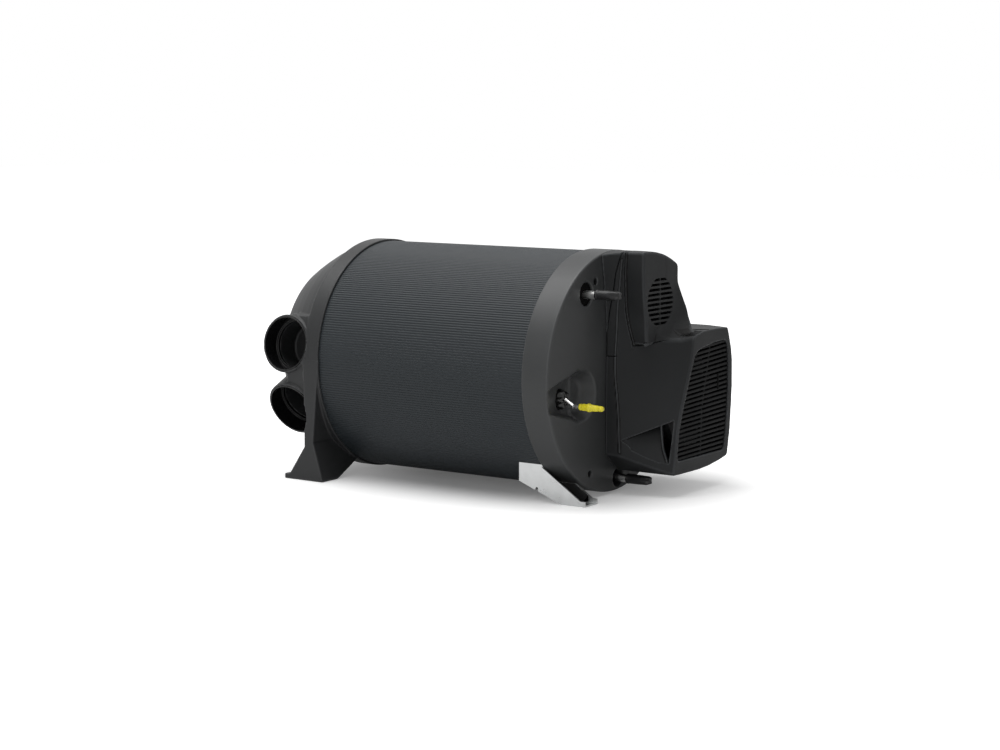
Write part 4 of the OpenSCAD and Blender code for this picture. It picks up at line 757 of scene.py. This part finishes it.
def upper_body(x, y, z):
    """The upper cover before the seam is cut: the body with the vent box, its groove and its lower bead."""
    base_y = at(z, BOX_BASE_Y)
    lean = at(z, FLANK_LEAN)
    base_x = at(z, RIDGE_X) + lean * (base_y - RIDGE_Y)
    box_lean = (at(z, BOX_EDGE_Y) - base_y) / (VENT_X - base_x)
    box_left = (base_y + np.maximum(x - base_x, 0.0) * box_lean - y) / np.sqrt(1 + box_lean ** 2)
    box = inside_all(3.5, box_left, np.hypot(y, z) - BOX_R, y - at(z, COVER_RIGHT_Y), x - VENT_X)
    box = soft_max(soft_max(box, BOX_LOW_Z + BOX_LOW_RISE * y - z, 1.6), BOX_BACK_X - x, 1.0)
    body = soft_min(covers_body(x, y, z), box, 0.8)
    length = np.sqrt(1 + lean * lean)
    groove_x = x - base_x + GROOVE_OFFSET * lean / length
    groove = np.hypot(groove_x, y - base_y + GROOVE_OFFSET / length) - GROOVE_R
    body = soft_max(body, -groove, 0.5)
    along = y - BOX_BEAD_Y
    share = np.clip(along / BOX_BEAD_RUN, 0.0, 1.0)
    height = z - BOX_BEAD_Z - BOX_BEAD_RISE * share
    bead = np.sqrt((x - BOX_BEAD_X) ** 2 + (along - BOX_BEAD_RUN * share) ** 2 + height ** 2) - BOX_BEAD_R
    return soft_min(body, bead, 0.8)


def upper_cover_field(x, y, z):
    """The upper cover: its body inside the upper zone, less the vent's slots."""
    body = soft_max(upper_body(x, y, z), upper_zone(x, y, z, SEAM_GAP), 0.5)
    return soft_max(body, -vent_slots(x, y, z), 0.4)


# %% Control covers
lower_skin = moulded(housing_field, low=(176, -40, -124), high=(257, 151, 148), step=1.37,
                     bend_field=housing_body)
show_moulding("housing_skin", lower_skin, cover_plastic, "cover_plastic", "control_housing")
upper_skin = moulded(upper_cover_field, low=(176, -40, 18), high=(257, 92, 148), step=0.9,
                     bend_field=upper_body)
show_moulding("upper_cover_skin", upper_skin, cover_plastic, "cover_plastic", "electronics_cover")

# %% [markdown]
# ## Slats
# The intake is closed by slats moulded with a small radius. One slat is a rounded section carried along a
# line, and all the slats are worked out at once as a stack of such grids.

# %% Slats
SECTION_POINTS = 12
SECTION_POWER = 0.5


def bars(starts, ends, half_depth, half_width, depth_dir):
    """Straight bars: p = a + s (b - a) + section (cos t, sin t)^0.5 in depth and width, with flat ends."""
    starts = np.asarray(starts, float)
    ends = np.asarray(ends, float)
    t = np.linspace(0.0, 2 * np.pi, SECTION_POINTS, endpoint=False)
    c, s = np.cos(t), np.sin(t)
    u = half_depth * np.sign(c) * np.abs(c) ** SECTION_POWER
    v = half_width * np.sign(s) * np.abs(s) ** SECTION_POWER
    along = ends - starts
    along /= np.linalg.norm(along, axis=1, keepdims=True)
    deep = np.broadcast_to(np.asarray(depth_dir, float), along.shape)
    wide = np.cross(along, deep)
    section = u[None, :, None] * deep[:, None] + v[None, :, None] * wide[:, None]
    closed = 0 * section
    rings = [starts[:, None] + closed, starts[:, None] + section,
             ends[:, None] + section, ends[:, None] + closed]
    points = np.stack(rings, axis=1).reshape(-1, 3)
    face = grid_faces(len(rings), SECTION_POINTS, round_v=True)
    first = len(rings) * SECTION_POINTS * np.arange(len(starts))
    faces = (face[None] + first[:, None, None]).reshape(-1, 4)
    return points, outward(points, faces)


def joined(*parts):
    """One mesh from several: the point numbers of each part follow on from the last."""
    starts = np.cumsum([0] + [len(p) for p, _ in parts])
    faces = [f + n for (_, f), n in zip(parts, starts)]
    return np.concatenate([p for p, _ in parts]), np.concatenate(faces)


# %% [markdown]
# ## Intake grille
# The intake of the fan box is a dark plate of two dozen slats with one slanted rib behind them and a short
# upright bar. The slats fan out a little from the lower edge to the upper one, so each has its own tilt.

# %% Intake grille
AHEAD = (1.0, 0.0, 0.0)
SLATS, SLAT_LOW_Z, SLAT_TOP_Z = 24, -102.5, 27.5
SLAT_X, SLAT_HALF_DEPTH, SLAT_HALF_WIDTH = 253.2, 2.4, 1.85
SLAT_LEFT_GAP, SLAT_RIGHT_GAP, TILT_MIDDLE_Y = 0.6, 0.4, 95.0
RIB_X, RIB_HALF_DEPTH, RIB_HALF_WIDTH = 252.6, 2.2, 1.3
RIB_LINE = [(96.5, 30.5), (90.4, 1.4), (83.8, -21.6), (77.3, -49.4), (74.6, -106.4)]
levels = np.linspace(SLAT_LOW_Z, SLAT_TOP_Z, SLATS)
tilt = np.interp(levels, [-103.0, 28.0], [0.015, 0.06])
left = np.interp(levels, [-107, -104, -70, -39, 1, 24, 32], [14.0, 14.6, 19, 30, 47.5, 60, 86])
right = np.interp(levels, [-105, -82, -50, -29, 5, 20, 31], [132, 136.5, 140, 141.5, 141, 139, 132])
left, right = left + SLAT_LEFT_GAP, right - SLAT_RIGHT_GAP
flat = np.full_like(levels, SLAT_X)
slats = bars(np.stack([flat, left, levels + tilt * (left - TILT_MIDDLE_Y)], 1),
             np.stack([flat, right, levels + tilt * (right - TILT_MIDDLE_Y)], 1),
             SLAT_HALF_DEPTH, SLAT_HALF_WIDTH, AHEAD)
rib_points = np.array([(RIB_X, y, z) for y, z in RIB_LINE])
ribs = bars(rib_points[:-1], rib_points[1:], RIB_HALF_DEPTH, RIB_HALF_WIDTH, AHEAD)
show("intake_louvres", *joined(slats, ribs), grille_plastic, "cover_plastic", ["intake_grille"])
latch = bars([(254.4, 115.3, -9.5)], [(254.4, 115.6, -28.5)], half_depth=1.6, half_width=1.7,
             depth_dir=AHEAD)
show("intake_latch", *latch, deep_rubber, "seal_rubber")

# %% [markdown]
# ## Pipe caps
# Three stubs leave the end face, each with a push-on cap for transport. The caps slide off, so each is a
# piece of its own on its own body. Turned profiles give the lips and collars, and a cosine round the tip
# gives the flutes of the water caps.

# %% Water caps
WATER_CAP = rounded([(191.0, 5.3), (190.2, 5.3), (190.2, 6.2), (192.4, 6.4), (193.2, 6.0), (208.0, 5.9),
                     (212.0, 6.2), (219.0, 6.3), (222.9, 4.9), (222.9, 0.0)], radius=0.7, steps=4)
TIP_X, TIP_RUN, TIP_FLUTE_DEPTH, TIP_FLUTE_LEAST_R = 208.0, 12.0, 2.1, 2.0
tip = np.clip((WATER_CAP[:, 0] - TIP_X) / TIP_RUN, 0.0, 1.0)
flute = tip * TIP_FLUTE_DEPTH * (WATER_CAP[:, 1] > TIP_FLUTE_LEAST_R)
for name, place in (("hot_water_cap", HOT_PIPE), ("cold_water_cap", COLD_PIPE)):
    points, faces = turned(WATER_CAP, steps=72, lobes=4, lobe_depth=flute)
    show(f"{name}_skin", points + (0.0, *place), faces, cap_black, "cap_black", [name], body=name)

# %% Fuel cap
FUEL_CAP = rounded([(191.0, 2.7), (190.2, 2.7), (190.2, 3.7), (192.2, 4.0), (193.0, 3.3), (193.8, 3.3),
                    (194.6, 4.1), (201.6, 4.2), (202.2, 5.0), (204.4, 5.0), (205.0, 4.1), (215.4, 3.5),
                    (216.0, 2.9), (216.8, 2.9), (217.4, 3.4), (221.0, 3.1), (222.9, 2.0), (222.9, 0.0)],
                   radius=0.45, steps=4)
FUEL_CAP_PLACE = (-99.0, -31.0)
points, faces = turned(FUEL_CAP, steps=48)
show("fuel_cap_skin", points + (0.0, *FUEL_CAP_PLACE), faces, cap_yellow, "cap_yellow", ["fuel_cap"],
     body="fuel_cap")

# %% [markdown]
# ## Bushing of the fuel line
# The fuel line comes out of a soft black bushing with a star of lips, bends down and runs straight into its
# cap. The bushing is a turned dome whose radius dips at five places, deeper towards its front.

# %% Fuel bushing
BUSHING = rounded([(157.0, 3.0), (157.0, 12.4), (166.0, 12.4), (170.5, 10.6), (171.5, 7.6), (167.0, 4.2),
                   (163.0, 3.0)], radius=1.6, steps=4)
DIP_X, DIP_RUN, DIP_DEPTH, DIP_LEAST_R = 163.0, 6.0, 4.2, 5.0
dips = np.clip((BUSHING[:, 0] - DIP_X) / DIP_RUN, 0.0, 1.0) * DIP_DEPTH * (BUSHING[:, 1] > DIP_LEAST_R)
points, faces = turned(BUSHING, steps=80, lobes=5, lobe_depth=dips)
show("fuel_bushing", points + (0.0, *BUSHING_PLACE), faces, glossy_rubber, "seal_rubber",
     ["fuel_pipe_grommet"])

# %% [markdown]
# ## Painted shade in the foot bracket
# The bare sheet channel under the control end lies in shade inside. A thin black sheet on its web and against
# its far flange paints that shade. It is one closed strip, a small section carried along the web's line.

# %% Painted shade sheet of the bracket
SHADE_SHEET_LIFT, SHADE_SHEET_WALL = 0.15, 0.7
SHADE_SHEET_Y = np.array([-98.8, -98.8, -74.8, -74.8, -74.15, -74.15])
FLANGE_MARGIN, LEAST_FLANGE = 0.8, 1.0
UNDER_RING_R, UNDER_RING_Y, UNDER_RING_X, UNDER_RING_GAP = 147.9, 74.0, 177.5, 0.3


def bracket_shade_sheet():
    """A black sheet of painted shade: six points (web, far flange) at each X; the web's height follows the
    bracket's bent line.
    """
    x = np.array([107.0, 125.0, 145.0, 164.5, 168.0, 180.0, 187.0])
    web = np.interp(x, [105.5, 165.5, 199.0], [-125.0, -147.9, -147.9]) + SHADE_SHEET_LIFT
    flange = np.interp(x, [105.5, 127.9, 192.5], [-101.0, -101.0, -143.5])
    under_ring = -np.sqrt(UNDER_RING_R ** 2 - UNDER_RING_Y ** 2)
    limit = np.where(x < UNDER_RING_X, under_ring - UNDER_RING_GAP, 0.0)
    top = np.maximum(np.minimum(flange - FLANGE_MARGIN, limit), web + LEAST_FLANGE)
    z = np.stack([web, web + SHADE_SHEET_WALL, web + SHADE_SHEET_WALL, top, top, web], axis=1)
    points = np.stack(np.broadcast_arrays(x[:, None], SHADE_SHEET_Y[None, :], z), axis=-1)
    ends = points.mean(axis=1, keepdims=True) + 0 * points
    points = np.concatenate([ends[:1], points, ends[-1:]])
    faces = grid_faces(len(points), len(SHADE_SHEET_Y), round_v=True)
    points = points.reshape(-1, 3)
    return points, outward(points, faces)


# A thin black sheet that paints the shade inside the bracket channel.
show("bracket_shade_sheet", *bracket_shade_sheet(), seal_rubber, "seal_rubber")

# %% [markdown]
# ## Floor, light and camera
# The photo is a studio packshot: a white sweep, a broad light from above and a faint shadow. The floor takes
# the shadow near the object and is plain white further out. Floor and world are white to the camera, show a
# share of that white in mirror-like surfaces, and light the object at a plain level.

# %% Floor
FLOOR_HALF, FLOOR_Z = 9.0, -0.0002
FLOOR_TONE, FLOOR_ROUGHNESS, FLOOR_MIRROR_SHARE = 0.86, 0.9, 0.35
SHADOW_SQUEEZE = (0.78, 1.0, 0.0)
GLOW_RANGE = {"From Min": 0.05, "From Max": 0.46, "To Min": 0.10, "To Max": 1.0}


def white_to_camera(tree, mirror_share):
    """1 to the camera and through glass, a share to a mirror, 0 where the surface only lights the scene."""
    path = new_node(tree, "ShaderNodeLightPath")
    mirror = new_node(tree, "ShaderNodeMath", {1: mirror_share}, operation="MULTIPLY")
    first = new_node(tree, "ShaderNodeMath", operation="MAXIMUM")
    second = new_node(tree, "ShaderNodeMath", operation="MAXIMUM")
    link = tree.links.new
    link(path.outputs["Is Camera Ray"], first.inputs[0])
    link(path.outputs["Is Glossy Ray"], mirror.inputs[0])
    link(mirror.outputs[0], first.inputs[1])
    link(first.outputs[0], second.inputs[0])
    link(path.outputs["Is Transmission Ray"], second.inputs[1])
    return second.outputs[0]


def studio_floor():
    """A wide flat sheet at floor height: its own white grows with the distance from the object's middle."""
    mesh = bpy.data.meshes.new("studio_floor")
    signs = ((-1, -1), (1, -1), (1, 1), (-1, 1))
    mesh.from_pydata([(a * FLOOR_HALF, b * FLOOR_HALF, FLOOR_Z) for a, b in signs], [], [(0, 1, 2, 3)])
    floor = bpy.data.objects.new("studio_floor", mesh)
    bpy.context.scene.collection.objects.link(floor)
    material = bpy.data.materials.new("studio_white")
    material.use_nodes = True
    tree = material.node_tree
    link = tree.links.new
    shader = tree.nodes["Principled BSDF"]
    shader.inputs["Base Color"].default_value = (FLOOR_TONE, FLOOR_TONE, FLOOR_TONE, 1.0)
    shader.inputs["Roughness"].default_value = FLOOR_ROUGHNESS
    shader.inputs["Specular IOR Level"].default_value = 0.0
    shader.inputs["Emission Color"].default_value = (1.0, 1.0, 1.0, 1.0)
    place = new_node(tree, "ShaderNodeTexCoord")
    squeeze = new_node(tree, "ShaderNodeMapping", {"Scale": SHADOW_SQUEEZE})
    away = new_node(tree, "ShaderNodeVectorMath", operation="LENGTH")
    glow = new_node(tree, "ShaderNodeMapRange", GLOW_RANGE, interpolation_type="SMOOTHSTEP")
    seen = new_node(tree, "ShaderNodeMath", operation="MULTIPLY")
    link(place.outputs["Object"], squeeze.inputs["Vector"])
    link(squeeze.outputs["Vector"], away.inputs[0])
    link(away.outputs["Value"], glow.inputs["Value"])
    link(glow.outputs["Result"], seen.inputs[0])
    link(white_to_camera(tree, FLOOR_MIRROR_SHARE), seen.inputs[1])
    link(seen.outputs[0], shader.inputs["Emission Strength"])
    mesh.materials.append(material)


studio_floor()


# %% World and lamps
WORLD_LEVEL, WORLD_MIRROR_SHARE = 0.09, 0.75


def studio_world():
    """White background to the camera, and a soft even light on everything else."""
    world = bpy.data.worlds.new("studio")
    world.use_nodes = True
    bpy.context.scene.world = world
    tree = world.node_tree
    sky = tree.nodes["Background"]
    sky.inputs["Color"].default_value = (1.0, 1.0, 1.0, 1.0)
    strength = new_node(tree, "ShaderNodeMapRange", {"To Min": WORLD_LEVEL, "To Max": 1.0})
    tree.links.new(white_to_camera(tree, WORLD_MIRROR_SHARE), strength.inputs["Value"])
    tree.links.new(strength.outputs["Result"], sky.inputs["Strength"])


def softbox(name, place, target, size, power):
    """A square area lamp that looks from its place to a target, with lengths in metres and power in watts."""
    lamp = bpy.data.lights.new(name, "AREA")
    lamp.size = size
    lamp.energy = power
    box = bpy.data.objects.new(name, lamp)
    bpy.context.scene.collection.objects.link(box)
    box.location = place
    look = np.asarray(target, float) - np.asarray(place, float)
    box.rotation_euler = Vector(look).to_track_quat("-Z", "Y").to_euler()


studio_world()
softbox("softbox_top", place=(-0.45, -0.35, 2.2), target=(-0.05, 0.0, 0.15), size=2.2, power=53.0)
softbox("softbox_front", place=(0.5, -2.4, 1.0), target=(0.05, 0.0, 0.15), size=1.4, power=7.0)

# %% Camera
AZIMUTH, ELEVATION, DISTANCE = math.radians(34.6), math.radians(7.38), 2.765
LOOK_AT = (0.008, 0.0, 0.1329)
camera = bpy.data.cameras.new("packshot")
camera.sensor_width = 36.0
camera.lens = 79.2
camera.clip_start = 0.05
camera.clip_end = 50.0
view = bpy.data.objects.new("packshot", camera)
bpy.context.scene.collection.objects.link(view)
level_out = math.cos(ELEVATION)
back = Vector((math.sin(AZIMUTH) * level_out, -math.cos(AZIMUTH) * level_out, math.sin(ELEVATION)))
view.location = Vector(LOOK_AT) + back * DISTANCE
view.rotation_euler = (-back).to_track_quat("-Z", "Y").to_euler()
bpy.context.scene.camera = view
bpy.context.scene.view_settings.view_transform = "Standard"
